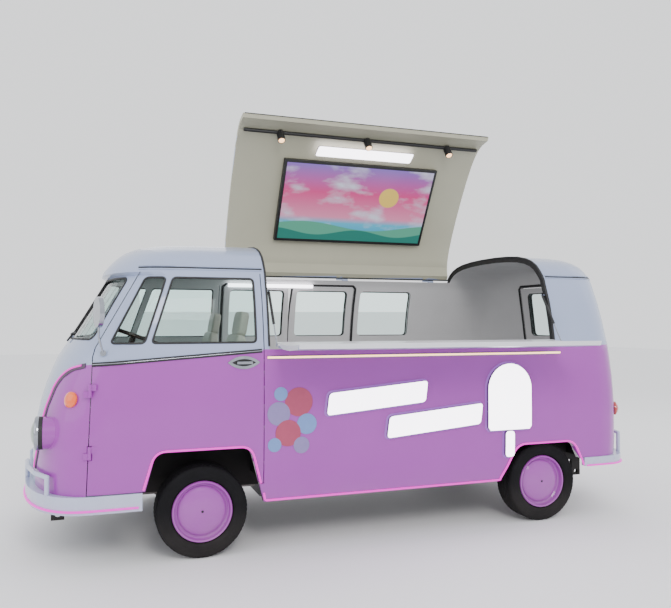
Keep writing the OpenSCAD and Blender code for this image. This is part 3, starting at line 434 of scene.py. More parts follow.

# Seals and mouldings round the fixed body: extruded black rubber pushed on to the panel edges and inside
# the load doors' openings, a dark channel along the line across the nose, and folded drip rails. A dark
# strip between each rail's folds is a painted shadow: it stands for the shade under the rail.
channel_grey = finish("channel_grey", (66, 48, 70), (80, 60, 84), (0.35, 0.5), dust=0.3)


def piece(name, surfaces, material, body="body", slot="black_plastic", crease=40):
    """A finished piece that rides on a body; edges sharper than crease degrees stay sharp."""
    mesh = mesh_of(name, surfaces)
    mesh.materials.append(material)
    mesh.shade_smooth()
    mesh.set_sharp_from_angle(angle=np.radians(crease))
    obj = shown(name, mesh)
    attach(obj, body)
    return obj


def curve(points, count):
    """A smooth curve through the points: each span is a cubic whose slopes follow its neighbours."""
    p = np.asarray(points, float)
    p = np.vstack([2 * p[0] - p[1], p, 2 * p[-1] - p[-2]])
    t = np.linspace(0, len(points) - 1, count)
    i = np.minimum(t.astype(int), len(points) - 2)
    s = (t - i)[:, None]
    a, b, c, d = p[i], p[i + 1], p[i + 2], p[i + 3]
    return 0.5 * (2 * b + (c - a) * s + (2 * a - 5 * b + 4 * c - d) * s ** 2
                  + (3 * b - a - 3 * c + d) * s ** 3)


def spaced(path, gap, closed=False):
    """A path with points added along its straight runs, so that none are more than gap apart."""
    path = np.asarray(path, float)
    ends = np.roll(path, -1, 0) if closed else path[1:]
    starts = path if closed else path[:-1]
    counts = np.maximum(np.ceil(np.linalg.norm(ends - starts, axis=1) / gap).astype(int), 1)
    which = np.repeat(np.arange(len(counts)), counts)
    share = (np.arange(counts.sum()) - np.repeat(np.cumsum(counts) - counts, counts)) / counts[which]
    path_points = starts[which] + (ends - starts)[which] * share[:, None]
    return path_points if closed else np.vstack([path_points, path[-1]])


def sweep(path, out, section, closed=False):
    """A section (across, out) carried along a path: across is at right angles to the path and to out.
    An open run is shut at both ends by drawing its section to a point."""
    run = np.roll(path, -1, 0) - np.roll(path, 1, 0) if closed else np.gradient(path, axis=0)
    ahead = unit(run)
    out = unit(out - (out * ahead).sum(1, keepdims=True) * ahead)
    across = np.cross(ahead, out)
    grid = path[:, None] + section[None, :, :1] * across[:, None] + section[None, :, 1:] * out[:, None]
    if not closed:
        ends = [np.broadcast_to(g.mean(0), (1, *g.shape)) for g in (grid[0], grid[-1])]
        grid = np.concatenate([ends[0], grid, ends[1]])
    return grid, closed, True


def strip(width, height):
    """A section with a flat back sunk 4 mm into its seat and a softly domed front."""
    t = np.linspace(0, np.pi, 9)
    dome = stacked(width / 2 * np.cos(t), height * np.sin(t) ** 0.6)
    return np.vstack([dome, [[-width / 2, -0.004], [width / 2, -0.004]]])


def seated(p, lift, reach=0.035):
    """Points of the skin lifted along its normals, with the normals."""
    n = unit(skin_slope(p, reach))
    return p + lift * n, n


def on_side(x, z, side=1, lift=0.0):
    """Points on the skin of a side, lifted along its normal, with the normals."""
    return seated(stacked(x, side * side_y(x, z), z), lift)


def on_end(y, z, x_of=front_x, lift=0.0):
    """Points on the skin of the nose, or of the tail by its x_of, as on_side gives them."""
    return seated(stacked(x_of(y, z), y, z), lift)


v_path = curve(v_line[1:], 90)
door_gap_x, channel_out = 2.074, 0.020
v_z, v_y = v_path[front_x(v_path[:, 1] + channel_out, v_path[:, 0]) > door_gap_x].T
runs = [sweep(*on_end(side * (v_y + channel_out), v_z), strip(0.036, 0.006)) for side in (1, -1)]
piece("nose_channel", runs, channel_grey)

hinge_z = 2.072
near_z = np.concatenate([np.linspace(opening_z, 1.96, 26), level_z[13:]])
far_z = np.append(near_z[::-1][near_z[::-1] > hinge_z], hinge_z)
# the seals run up the serving side, over the roof and down to the hinge line
hoop_y, hoop_z = np.concatenate([half_at(near_z), -half_at(far_z)]), np.concatenate([near_z, far_z])
serve_front, serve_back = 0.839, -1.593
hinge_line = stacked(np.linspace(serve_back, serve_front, 60), -0.765, 2.0775)
seals = [sweep(*seated(stacked(x, hoop_y, hoop_z), 0.001, 0.02), strip(wide, tall))
         for x, wide, tall in ((serve_front, 0.016, 0.006), (serve_back, 0.022, 0.007))]
seals.append(sweep(hinge_line, np.array([0.0, 0.6, 0.8]), strip(0.016, 0.006)))
piece("opening_seals", seals, rubber)

rails, rail_shadows = [], []
for side in (1, -1):
    for x in (np.linspace(0.86, 1.73, 50), np.linspace(-1.62, -2.25, 50)):
        for z, tall in ((2.006, 0.007), (2.030, 0.005)):
            rails.append(sweep(*on_side(x, z, side), strip(0.009, tall)))
        # painted shadow: a dark strip in black rubber between the rail's two folds stands for the shade
        # under the rail
        rail_shadows.append(sweep(*on_side(x, 2.018, side), strip(0.012, 0.003)))
piece("drip_rails", rails, white_paint, "body", "white_paint")
piece("drip_rail_shadows", rail_shadows, rubber)

inner_wall, seal_low, seal_top, seal_bend = 0.045, 0.56, 2.001, 0.03
for name, first, last in (("cargo_opening_seal", -0.526, 0.846), ("rear_opening_seal", -0.416, 0.416)):
    u, z = spaced([(first, seal_low), (first, seal_top - seal_bend), (first + seal_bend, seal_top),
                   (last - seal_bend, seal_top), (last, seal_top - seal_bend), (last, seal_low)], 0.03).T
    if name == "cargo_opening_seal":
        p, inward = stacked(u, inner_wall - side_y(u, z), z), np.eye(3)[1]
    else:
        p, inward = stacked(back_x(u, z) + inner_wall, u, z), np.eye(3)[0]
    piece(name, [sweep(p, inward, strip(0.026, 0.008))], rubber)

# Light lines: flexible tubes of milky plastic with pink lamps inside, clipped along the line across the
# nose, the bumpers, the wheel arches and the sills.


def rounded(corners, radius, count=7):
    """A closed outline whose corners are cut by a quadratic bend that starts radius before each corner."""
    c = np.asarray(corners, float)
    start = c + radius * unit(np.roll(c, 1, 0) - c)
    end = c + radius * unit(np.roll(c, -1, 0) - c)
    s = np.linspace(0, 1, count)[None, :, None]
    bends = (1 - s) ** 2 * start[:, None] + 2 * s * (1 - s) * c[:, None] + s ** 2 * end[:, None]
    return bends.reshape(-1, 2)


def circle(count):
    """Angles of a full turn in equal steps."""
    return np.linspace(0, 2 * np.pi, count, endpoint=False)


def ring(radius, count=12):
    """A round section or outline."""
    t = circle(count)
    return radius * stacked(np.cos(t), np.sin(t))


def glowing(name, colour, strength, drift):
    """Milky plastic that glows, brighter and dimmer along its run, also used for glow painted on a panel;
    unlit it is a third as bright.
    """
    material = finish(name, colour, colour, (0.3, 0.4), dim=0.3, Emission_Strength=strength)
    tree = material.node_tree
    detail = next(n for n in tree.nodes if n.type == "GROUP")
    glow = mixed(tree, detail.outputs["Patches"], shade(*colour), shade(*drift))
    tree.links.new(glow, tree.nodes["Principled BSDF"].inputs["Emission Color"])
    return material


sides = (1, "left"), (-1, "right")
lit = partial(piece, slot="lamp")
pink_light = glowing("pink_light", (255, 20, 216), 1.3, (255, 44, 226))
runs = [sweep(*on_end(side * (v_y - 0.004), v_z, lift=0.005), ring(0.007)) for side in (1, -1)]
lit("nose_light_lines", runs, pink_light)
tube = ring(0.0075)


def side_run(points, side):
    """A tube along the side skin through points of x and z."""
    return sweep(*on_side(*spaced(points, 0.03).T, side, 0.006), tube)


def arch(axle_x, half, half_top, top_z, low_z):
    """The line over an arch from its rear to its front, with the two upper corners rounded."""
    corners = [(axle_x - half, low_z), (axle_x - half_top, top_z), (axle_x + half_top, top_z),
               (axle_x + half, low_z)]
    return rounded(corners, 0.08)[7:21]


rear_half, arch_low, sill_z = 0.423, 0.372, 0.370
foot_x = rear_axle_x + rear_half
sill_line = np.vstack([
    [(-1.945, 0.438), (rear_axle_x - rear_half + 0.038, 0.44)],
    arch(rear_axle_x, rear_half, 0.273, 0.650, arch_low),
    [(foot_x - 0.004, 0.39), (foot_x, arch_low), (foot_x + 0.03, sill_z), (0.852, sill_z), (0.864, 0.380),
     (0.8735, 0.425)]])
door_line = np.vstack([
    [(0.898, 0.500)], arch(front_axle_x, 0.438, 0.332, 0.762, arch_low), [(1.704, 0.512)]])
lit("sill_light_lines", [side_run(sill_line, side) for side in (1, -1)], pink_light)
for side, door in sides:
    lit(f"{door}_arch_light_line", [side_run(door_line, side)], pink_light, f"{door}_door")
bumper_tip, bumper_out = 2.5 + 0.004, 0.013


def band_run(z, band_z, reach, power, from_x, sign):
    """A tube round a bumper at one height, from one wheel arch round the end of the body to the other."""
    half = half_at(band_z) + bumper_out
    t = np.linspace(0, np.pi / 2, 40)
    x = np.concatenate([[from_x], sign * (bumper_tip - reach * (1 - np.sin(t) ** (2 / power)))])
    y = np.concatenate([[half], half * np.cos(t) ** (2 / power)])
    p = stacked(np.concatenate([x, x[-2::-1]]), np.concatenate([y, -y[-2::-1]]), z)
    run = np.gradient(p, axis=0)
    return sweep(p, stacked(run[:, 1], -run[:, 0], 0.0) * -sign, tube)


runs = [band_run(0.402, 0.494, nose_round, nose_power, 1.735, 1),
        band_run(0.434, 0.5, tail_round, tail_power, -1.905, -1)]
lit("bumper_light_lines", runs, pink_light)

# Bumpers: white pressed steel bands bent round the body's ends, with guards of bent tube welded on. The
# gloss is dulled by road dust.
bumper_paint = finish(
    "bumper_paint", (184, 191, 216), (176, 183, 210), (0.25, 0.4), scale=9, fine=300, bump=0.04, dust=0.3,
    dust_top=0.6, Coat_Weight=0.5, Coat_Roughness=0.12)
dress("front_bumper rear_bumper", bumper_paint)

# Glass: clear tempered panes with a faint green tint, two in the screen and one or two in each door, held
# by black rubber gaskets that grip the panel's edge.
glass = finish(
    "window_glass", (222, 236, 233), (214, 230, 228), (0.0, 0.02), scale=3, bump=0.0,
    Transmission_Weight=1.0, IOR=1.15, Specular_IOR_Level=0.3)
dress("windscreen_glass side_glass door_left_glass door_right_glass cargo_door_front_glass", glass)
dress("cargo_door_rear_glass rear_door_glass", glass)
far_side, tail = partial(on_side, side=-1), partial(on_end, x_of=back_x)


def gasket(corners, radius, seat):
    """A gasket round a window outline; seat turns its places to points and normals of the skin."""
    return sweep(*seat(*spaced(rounded(corners, radius), 0.03, True).T), strip(0.015, 0.005), True)


window_low, window_top = 1.49, 1.945
vent = [(1.55, window_top), (1.685, window_top), (1.921, window_low), (1.702, window_low)]
drop = [(0.932, window_top), (1.503, window_top), (1.655, window_low), (0.932, window_low)]
for side, door in sides:
    seat = partial(on_side, side=side)
    piece(f"{door}_door_gaskets", [gasket(o, 0.03, seat) for o in (vent, drop)], rubber, f"{door}_door")
for name, body, first, last, top, radius, seat in (
        ("side_window_gasket", "body", -1.165, -0.59, window_top, 0.045, far_side),
        ("front_cargo_gasket", "front_cargo_leaf", 0.225, 0.771, window_top, 0.045, far_side),
        ("rear_cargo_gasket", "rear_cargo_leaf", -0.445, 0.095, window_top, 0.045, far_side),
        ("rear_window_gasket", "back_door", -0.305, 0.305, 1.925, 0.05, tail)):
    box = [(first, window_low), (last, window_low), (last, top), (first, top)]
    piece(name, [gasket(box, radius, seat)], rubber, body)
screen_base, screen_head = 1.514, 1.948
half_pane = [(0.028, screen_base), (0.765, screen_base), (0.648, screen_head), (0.028, screen_head)]
panes = [[(side * y, z) for y, z in half_pane] for side in (1, -1)]
piece("windscreen_gaskets", [gasket(o, 0.05, on_end) for o in panes], rubber)

# Doors: a moulding of bright metal between two rubber lines along the belt, a bright grip on a black plate
# in a lens-shaped bezel, and a round mirror on a bent arm.
chrome = finish(
    "chrome", (172, 176, 184), (140, 144, 152), (0.04, 0.14), scale=25, fine=400, bump=0.01, Metallic=1.0)
silver = finish("mirror_silver", (206, 210, 214), (200, 205, 210), (0.0, 0.03), bump=0.0, Metallic=1.0)
handle_x, handle_z, handle_half, handle_tall, plate_proud = 1.023, 1.349, 0.1175, 0.046, 0.018
mirror_x, mirror_z, mirror_swing, mirror_half, mirror_r = 1.997, 1.698, np.radians(12), 0.015, 0.091


def light_box(outline, seat, proud=0.03):
    """A blank sign: rings of its outline drawn in to its middle for the face, and its edge back to the seat.
    seat turns outline places to points and normals. Gives the edge and the face as two surfaces."""
    middle = outline.mean(0)
    shares = np.array([1.0, 1.0, 0.985, 0.6, 0.2, 0.0])
    lifts = np.array([0.001, proud - 0.003, proud, proud, proud, proud])
    rings = middle + shares[:, None, None] * (outline - middle)
    p, n = seat(*rings.reshape(-1, 2).T)
    grid = (p + np.repeat(lifts, len(outline))[:, None] * n).reshape(len(shares), len(outline), 3)
    return (grid[:2], False, True), (grid[1:], False, True)


def lens_outline(x, z, half, tall):
    """Two arcs that meet in points at x - half and x + half and stand tall above and below z."""
    bow = (half ** 2 + tall ** 2) / (2 * tall)
    u = half * np.cos(np.linspace(0, np.pi, 25))[:-1]
    v = np.sqrt(bow ** 2 - u ** 2) - bow + tall
    return np.vstack([stacked(x + u, z + v), stacked(x - u, z - v)])


def fitting_kinds(centre, normal):
    """Face numbers: 1 for the plate behind a handle's grip, 2 for painted knuckles, 0 for bright metal."""
    x, y, z = centre.T
    plate = (np.abs(x - handle_x) < 0.1) & (np.abs(y) < half_at(handle_z) + plate_proud) & (z < 1.4)
    return np.where((x > 2.0) & (z < 1.35), 2, plate)


x = np.linspace(0.893, 2.03, 60)
moulding_z = door_belt_z - belt_fall * (x - door_back_x)
for side, door in sides:
    body, seat = f"{door}_door", partial(on_side, side=side)
    bead = sweep(*seat(x, moulding_z), strip(0.008, 0.008))
    piece(f"{door}_belt_moulding", [bead], chrome, body, "chrome")
    lines = [sweep(*seat(x, moulding_z + rise), strip(0.011, 0.0055)) for rise in (0.0085, -0.0085)]
    piece(f"{door}_belt_rubber", lines, rubber, body)
    dress(f"door_{door}_fittings", chrome, rubber, body_paint, choose=fitting_kinds)
    bezel = light_box(lens_outline(handle_x, handle_z, handle_half, handle_tall), seat, 0.004)
    piece(f"{door}_handle_bezel", bezel, chrome, body, "chrome")
    spots = vectors(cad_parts[f"door_{door}_fittings"].data.vertices, "co")
    head = np.array([mirror_x, spots[spots[:, 2] > mirror_z][:, 1].mean(), mirror_z])
    back = -np.array([np.cos(mirror_swing), side * np.sin(mirror_swing), 0])
    across, up = np.array([-back[1], back[0], 0]), np.eye(3)[2]
    disc = light_box(ring(mirror_r, 40), lambda u, v: (
        head + mirror_half * back + u[:, None] * across + v[:, None] * up, back), 0.002)
    piece(f"{door}_mirror_glass", disc, silver, body, "chrome")
dress("hinges", body_paint, white_paint, choose=lambda centre, normal: centre[:, 2] > window_top)

# Load doors: the front cargo leaf and the rear door open by a bright bar, bent at both ends and screwed on
# near the free edge over a lens-shaped plate like the cab doors'.


def pull_bar(first, last, out, proud=0.032):
    """A bar bent out from its first foot, straight along, and back in to its last foot."""
    inner = 0.12 * (last - first)
    path = curve([first, first + inner + proud * out, last - inner + proud * out, last], 30)
    return sweep(path, np.cross(out, unit(last - first)), tube)


pull_z, pull_half = 1.12, 0.055
for name, body, middle, seat in (
        ("cargo_door_handle", "front_cargo_leaf", 0.25, far_side),
        ("back_door_handle", "back_door", 0.315, tail)):
    edge, face = light_box(lens_outline(middle, pull_z, 0.078, 0.026), seat, 0.004)
    feet, out = seat(np.array([middle - pull_half, middle + pull_half]), np.full(2, pull_z))
    piece(name, [edge, face, pull_bar(*feet, out[0])], chrome, body, "chrome")

# Lamps: round headlamps in painted collars with bright rings and ribbed lenses, amber lamps on the nose
# and red ones on the tail. The headlamp lenses carry a painted reflection: a greenish mirror tint that runs
# light and dark in patches.
# painted reflection: the clear lens gets a greenish metal tint, light and dark in patches, for the
# reflection it shows
lens = finish(
    "headlamp_lens_painted_reflection", (186, 208, 190), (84, 98, 92), (0.03, 0.1), scale=22, fine=90, bump=0.2, Metallic=0.7,
    Coat_Weight=1.0)
amber = finish(
    "amber_lens", (220, 84, 0), (190, 60, 0), (0.08, 0.15), scale=40, fine=160, bump=0.2, Coat_Weight=1.0,
    Emission_Color=shade(255, 124, 0), Emission_Strength=0.45)
red = finish(
    "red_lens", (196, 22, 26), (160, 12, 18), (0.08, 0.15), scale=40, fine=160, bump=0.2, Coat_Weight=1.0)
lamp_face, lamp_y, lamp_z, collar_l = 2.386, 0.68, 0.885, 0.15
dress("headlamps", pink_paint, lens, chassis_paint, choose=lambda centre, normal: np.where(
    centre[:, 0] < lamp_face - collar_l, 2, centre[:, 0] > lamp_face + 0.001))
dress("marker_lamps", amber, red, lining, choose=lambda centre, normal: np.where(
    outside_only()(centre, normal) > 0, 2, centre[:, 0] < 0))
t = circle(64)[:, None]
rim_section = [(-0.016, 0.1075), (-0.015, 0.113), (-0.006, 0.115), (0.006, 0.113), (0.011, 0.108),
               (0.009, 0.101), (-0.001, 0.099)]  # ahead of the face, radius
seal_section = [(-0.042, 0.107), (-0.040, 0.110), (-0.015, 0.111), (-0.014, 0.107)]
for name, section, material in (
        ("headlamp_rims", rim_section, chrome), ("headlamp_seals", seal_section, rubber)):
    ahead, radius = np.array(section).T
    rims = [(stacked(lamp_face + ahead, side * lamp_y + radius * np.cos(t), lamp_z + radius * np.sin(t)),
             True, True) for side in (1, -1)]
    piece(name, rims, material, "body", "chrome")

# Cab: a padded dashboard, a dark brown wheel and two seats, each a crowned cushion, a back with sewn
# channels and a head rest in pale leathercloth over moulded foam.
dash_plastic = finish("dash_plastic", (78, 74, 82), (88, 84, 92), (0.5, 0.65), fine=700, bump=0.25)
wheel_brown = finish("wheel_brown", (58, 34, 28), (72, 44, 34), (0.3, 0.45), fine=600, bump=0.15)
leather = finish(
    "seat_leathercloth", (202, 196, 184), (190, 184, 172), (0.42, 0.58), scale=7, fine=820, bump=0.3,
    Sheen_Weight=0.15)
dress("dashboard", dash_plastic)
dress("steering_wheel", wheel_brown)
seam_depth, seam_half, seam_end, side_pull = 0.008, 0.09, 0.9, 0.035


def bent(v, power):
    """A value between -1 and 1 raised to a power, with its sign kept."""
    return np.sign(v) * np.abs(v) ** power


def pad(half_x, half_y, half_z, channels, power=0.32):
    """A stuffed form: a superellipsoid box with full sides, crowned on top, with sewn channels along x."""
    a, b = np.meshgrid(np.linspace(-np.pi / 2, np.pi / 2, 41), circle(96), indexing="ij")
    wide = bent(np.cos(a), power)
    x, y, z = wide * bent(np.cos(b), power), wide * bent(np.sin(b), power), bent(np.sin(a), power)
    crown = 0.10 * (1 - x ** 2) * (1 - y ** 2)
    seam = np.exp(-(np.abs((y * channels / 2) % 1 - 0.5) / seam_half) ** 2) if channels else 0 * y
    rise = np.clip(np.sin(a) * 3, 0, 1)
    z = z * (1 - 0.06 * (1 - crown * 10)) - seam_depth / half_z * seam * rise * (np.abs(y) < seam_end)
    pull = 1 - side_pull * np.cos(a) ** 2 * (1 - np.abs(np.cos(2 * b)))
    return stacked(half_x * x * pull, half_y * y * pull, half_z * z)


seat_x, seat_y, back_lean = 1.31, 0.56, np.radians(-10)
ahead, up = [np.array([np.sin(a), 0, np.cos(a)]) for a in (back_lean + np.pi / 2, back_lean)]
leaning = np.array([ahead, [0, 1, 0], up])
first_pad = None
for side, name in ((1, "driver"), (-1, "passenger")):
    y = side * seat_y
    hinge = np.array([seat_x - 0.205, y, 0.952])
    upright, rest = pad(0.295, 0.226, 0.047, 4)[..., ::-1], pad(0.094, 0.128, 0.038, 0)[..., ::-1]
    shapes = {
        "cushion": pad(0.236, 0.236, 0.053, 4) + [seat_x, y, 0.937],
        "back": upright @ leaning + (hinge + up * 0.3 + [-0.01, 0, 0]),
        "head_rest": rest @ leaning + (hinge + up * 0.675 + [-0.022, 0, 0]),
        "base": pad(0.229, 0.229, 0.047, 0, 0.12) + [seat_x, y, 0.8335]}
    for part, grid in shapes.items():
        cover = leather if part != "base" else dash_plastic
        obj = piece(f"{name}_seat_{part}", [(grid, False, True)], cover, "body", "seat", 60)
        first_pad = first_pad or obj
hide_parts("seats")

# Wipers: two black arms with rubber blades. The arms sit on the panel under the screen, and the blades rest
# on the lower edge of the glass.
arms = []
blade_y = np.linspace(0.10, 0.44, 24)
arm_y, arm_z = np.linspace([0.30, 1.487], [0.33, 1.545], 10).T
for side in (1, -1):
    arms.append(sweep(*on_end(side * blade_y, 1.535 + 0.05 * (blade_y - 0.1), lift=0.012), ring(0.006, 8)))
    arms.append(sweep(*on_end(side * arm_y, arm_z, lift=0.014), ring(0.007, 8)))
piece("wipers", arms, rubber)

# Roof hatch: a white shell lined in cream grey with a rubber lip, parked open over the counter. It carries
# a flat screen, a blank light box and a black track with three warm spot lamps.
hatch_lining = finish(
    "hatch_lining", (176, 174, 153), (168, 166, 146), (0.45, 0.6), scale=4, fine=380, bump=0.1)
black_plastic = finish("black_plastic", (18, 18, 20), (27, 27, 29), (0.35, 0.5), fine=800, bump=0.12)
hatch_turn, hatch_axis = hatch_pose = np.radians(61), np.array([0, -0.771, 2.064])  # parks it open
opened = partial(turned, angle=hatch_turn, axis=hatch_axis)
dress("hatch_shell", white_paint, hatch_lining, choose=outside_only(*hatch_pose, 0.01))
polish("hatch_shell", *hatch_pose)
dress("hatch_screen light_track", black_plastic)
hatch_x0, hatch_x1, hatch_edge_z = -1.584, 0.830, 2.012
lip_back, lip_up = 0.014, 0.004
p, n = on_side(np.linspace(hatch_x0 + lip_back, hatch_x1 - lip_back, 60), hatch_edge_z + lip_up)
piece("hatch_lip", [sweep(opened(p), turned(n, hatch_turn), strip(0.016, 0.004))], rubber, "roof_hatch")

picture, tree, shader = coat("screen_picture", Emission_Strength=0.9, Roughness=0.12, Specular_IOR_Level=0.2)
draw = partial(reckon, tree)
face = blend_nodes(tree, "TexCoord").outputs["UV"]
spot = blend_nodes(tree, "SeparateXYZ", {"Vector": face}).outputs
sky = blend_nodes(tree, "ValToRGB", {"Fac": spot["Y"]})
stops = [(0.0, shade(40, 160, 216)), (0.24, shade(96, 196, 232)), (0.32, shade(244, 150, 190)),
         (0.65, shade(232, 84, 150)), (1.0, shade(150, 120, 214))]
for k, (at, colour) in enumerate(stops):
    stop = sky.color_ramp.elements[k] if k < 2 else sky.color_ramp.elements.new(at)
    stop.position, stop.color = at, colour
stretch = blend_nodes(tree, "Mapping", {"Vector": face, "Scale": (2.2, 2.6, 1.0)})
cloud = ramp(tree, noise(tree, stretch.outputs[0], 1.6, 5.0), 0.5, 0.68)
seen = mixed(tree, cloud, sky.outputs["Color"], shade(226, 228, 250))
wide = blend_nodes(tree, "Mapping", {"Vector": face, "Scale": (1.9, 1.0, 0.0)})
sun_place, sun_r, soft_edge = (1.36, 0.62, 0.0), 0.13, 0.006
sun = blend_nodes(tree, "VectorMath", {0: wide.outputs[0], 1: sun_place}, operation="DISTANCE")
disc = ramp(tree, draw("SUBTRACT", sun_r, sun.outputs["Value"]), -soft_edge, soft_edge)
seen = mixed(tree, disc, seen, shade(250, 214, 110))
for high, swing, waves, start, colour in (
        (0.20, 0.05, 7.0, 0.4, shade(96, 176, 150)), (0.11, 0.04, 11.0, 2.0, shade(52, 132, 120))):
    wave = draw("SINE", draw("ADD", draw("MULTIPLY", spot["X"], waves), start))
    hill = draw("ADD", draw("MULTIPLY", wave, swing), high)
    under = ramp(tree, draw("SUBTRACT", hill, spot["Y"]), -soft_edge, soft_edge)
    seen = mixed(tree, under, seen, colour)
tree.links.new(mixed(tree, 0.94, seen, (0.0, 0.0, 0.0, 1.0)), shader.inputs["Base Color"])
tree.links.new(seen, shader.inputs["Emission Color"])
screen_x0, screen_x1, screen_half, screen_low, bezel = -1.195, 0.370, 0.4, 2.137, 0.026
u, v = np.meshgrid(np.linspace(screen_x1 - bezel, screen_x0 + bezel, 25),
                   np.linspace(-screen_half + bezel, screen_half - bezel, 15))
pane = stacked(u, v, screen_low - 0.0008)
piece("screen_picture", [(opened(pane), False, False)], picture, "roof_hatch")

warm_light = glowing("warm_light", (255, 208, 158), 4.0, (255, 190, 128))
white_light = glowing("white_light", (255, 252, 255), 6.0, (246, 240, 255))
sign_edge = finish("sign_edge", (92, 70, 110), (110, 86, 128), (0.3, 0.45))
shut = turned(vectors(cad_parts["light_track"].data.vertices, "co"), -hatch_turn, hatch_axis)
track_z = shut[np.abs(shut[:, 0] - hatch_x0) < 0.06][:, 2].mean()
throw, across, side_way = np.array([0, -0.5, -0.866]), np.eye(3)[0], np.array([0, 0.866, -0.5])
track_y, spot_reach, bulb_r, bulb_tall, rim_r = 0.64, 0.095, 0.027, 0.018, 0.0305
bulbs, shades = [], []
a, b = [grid[..., None] for grid in np.meshgrid(np.linspace(0, np.pi / 2, 9), circle(24), indexing="ij")]
t = circle(32)[:, None]
for x in (0.46, -0.377, -1.214):
    mouth = np.array([x, track_y, track_z]) + throw * spot_reach
    dome = (bulb_r * np.sin(a) * (np.cos(b) * across + np.sin(b) * side_way)
            + bulb_tall * np.cos(a) * throw)
    bulbs.append((opened(mouth + dome), False, True))
    rim = mouth + rim_r * (np.cos(t) * across + np.sin(t) * side_way)
    shades.append(sweep(opened(rim), turned(throw, hatch_turn), strip(0.007, 0.006), True))
lit("spot_bulbs", bulbs, warm_light, "roof_hatch")
piece("spot_rims", shades, black_plastic, "roof_hatch")


def hatch_seat(x, y):
    """Places of x and y under the shut hatch's lining, turned to where it is parked."""
    p = stacked(x, y, 2.116 + 0.10 * (0.47 - y))
    return opened(p), turned(np.array([0.0, -0.1, -0.995]), hatch_turn)


outline = spaced(rounded([(0.10, 0.462), (-0.86, 0.462), (-0.88, 0.556), (0.08, 0.556)], 0.02), 0.04, True)
edge, face = light_box(outline, hatch_seat, 0.02)
piece("hatch_sign_edge", [edge], sign_edge, "roof_hatch")
lit("hatch_sign_face", [face], white_light, "roof_hatch")

# Counter: the flap that shuts the opening under the hatch, a white panel that folds out level over a warm
# light bar. Two gas struts hold it.
counter_top = finish(
    "counter_top", (218, 219, 224), (208, 210, 216), (0.3, 0.42), scale=6, bump=0.06, Coat_Weight=0.3)
counter_pose = np.radians(-104), np.array([0, 0.94865, 1.455])  # folds it down
dress("counter", white_paint, counter_top, choose=outside_only(*counter_pose, 0.01))
polish("counter", *counter_pose)
dress("strut_barrels", black_plastic)
dress("strut_rods", chrome)
x, bar_z = np.linspace(-1.641, 0.852, 60), 1.3815
piece("counter_light_housing", [sweep(*on_side(x, bar_z), strip(0.026, 0.008))], chrome, "body", "chrome")
bar = sweep(*on_side(x, bar_z, lift=0.0045), strip(0.014, 0.0085))
lit("counter_light_bar", [bar], warm_light)

# Side signs: two blank slanting light boxes and a lolly on its stick, milky faces on dark edges that stand
# off the panel, with a lilac glow round them that is painted light: a thin glowing sheet on the panel
# stands for the light they throw on it. A cluster of plain vinyl discs lies behind the door.


def grown(outline, by):
    """An outline moved outwards along its own normals."""
    run = unit(np.roll(outline, -1, 0) - np.roll(outline, 1, 0))
    out = stacked(run[:, 1], -run[:, 0])
    away = (out * (outline - outline.mean(0))).sum()
    return outline + np.sign(away) * by * out


slant, sign_tall, sign_lean = 0.16 * 0.55, 0.16, 0.02
outlines = {}
for name, x0, x1, low in (("upper_sign", 0.414, -0.385, 0.955), ("lower_sign", -0.065, -0.868, 0.765)):
    high = low + slant * (x0 - x1)
    corners = [(x0, low), (x1, high), (x1 - sign_lean, high + sign_tall), (x0 - sign_lean, low + sign_tall)]
    outlines[name] = [spaced(rounded(corners, 0.03), 0.04, True)]
t = np.linspace(0, np.pi, 24)
lolly = np.vstack([stacked(-1.14 + 0.2 * np.cos(t), 1.10 + 0.2 * np.sin(t)),
                   [(-1.34, 0.80), (-1.32, 0.775), (-0.96, 0.775), (-0.94, 0.80)]])
stick = rounded([(-1.18, 0.765), (-1.10, 0.765), (-1.10, 0.56), (-1.18, 0.56)], 0.03)
outlines["lolly_sign"] = [spaced(o, 0.03, True) for o in (lolly, stick)]
# painted light: the lilac glow that the signs throw on the panel is a thin glowing sheet laid round each, no
# lamp
painted_halo_glow = glowing("painted_halo_glow", (196, 120, 236), 0.5, (180, 96, 230))
for name, shapes in outlines.items():
    edges, faces = zip(*[light_box(o, on_side) for o in shapes])
    painted_halos = [surface for o in shapes for surface in light_box(grown(o, 0.016), on_side, 0.003)]
    piece(f"{name}_edge", edges, sign_edge)
    lit(f"{name}_face", faces, white_light)
    lit(f"{name}_halo", painted_halos, painted_halo_glow)

discs = [(0.62, 1.06, 0.105, 0), (0.77, 0.98, 0.085, 1), (0.56, 0.90, 0.075, 2), (0.70, 0.84, 0.095, 0),
         (0.80, 0.76, 0.05, 2), (0.60, 0.75, 0.06, 1), (0.755, 1.12, 0.05, 2)]  # x, z, radius, vinyl
vinyls = [("rose", (168, 66, 96), (156, 56, 88)), ("lilac", (136, 122, 172), (126, 112, 162)),
          ("blue", (112, 142, 196), (102, 132, 188))]
vinyl_thick, layer_step = 0.0012, 0.0003
for k, (name, first, second) in enumerate(vinyls):
    vinyl = finish(f"vinyl_{name}", first, second, (0.3, 0.4), scale=30, fine=600, bump=0.05, dust=0.3)
    cut = [surface for layer, (x, z, r, kind) in enumerate(discs) if kind == k
           for surface in light_box(ring(r, 48) + [x, z], on_side, vinyl_thick + layer_step * layer)]
    piece(f"vinyl_discs_{k + 1}", cut, vinyl, "body", "pink_paint")

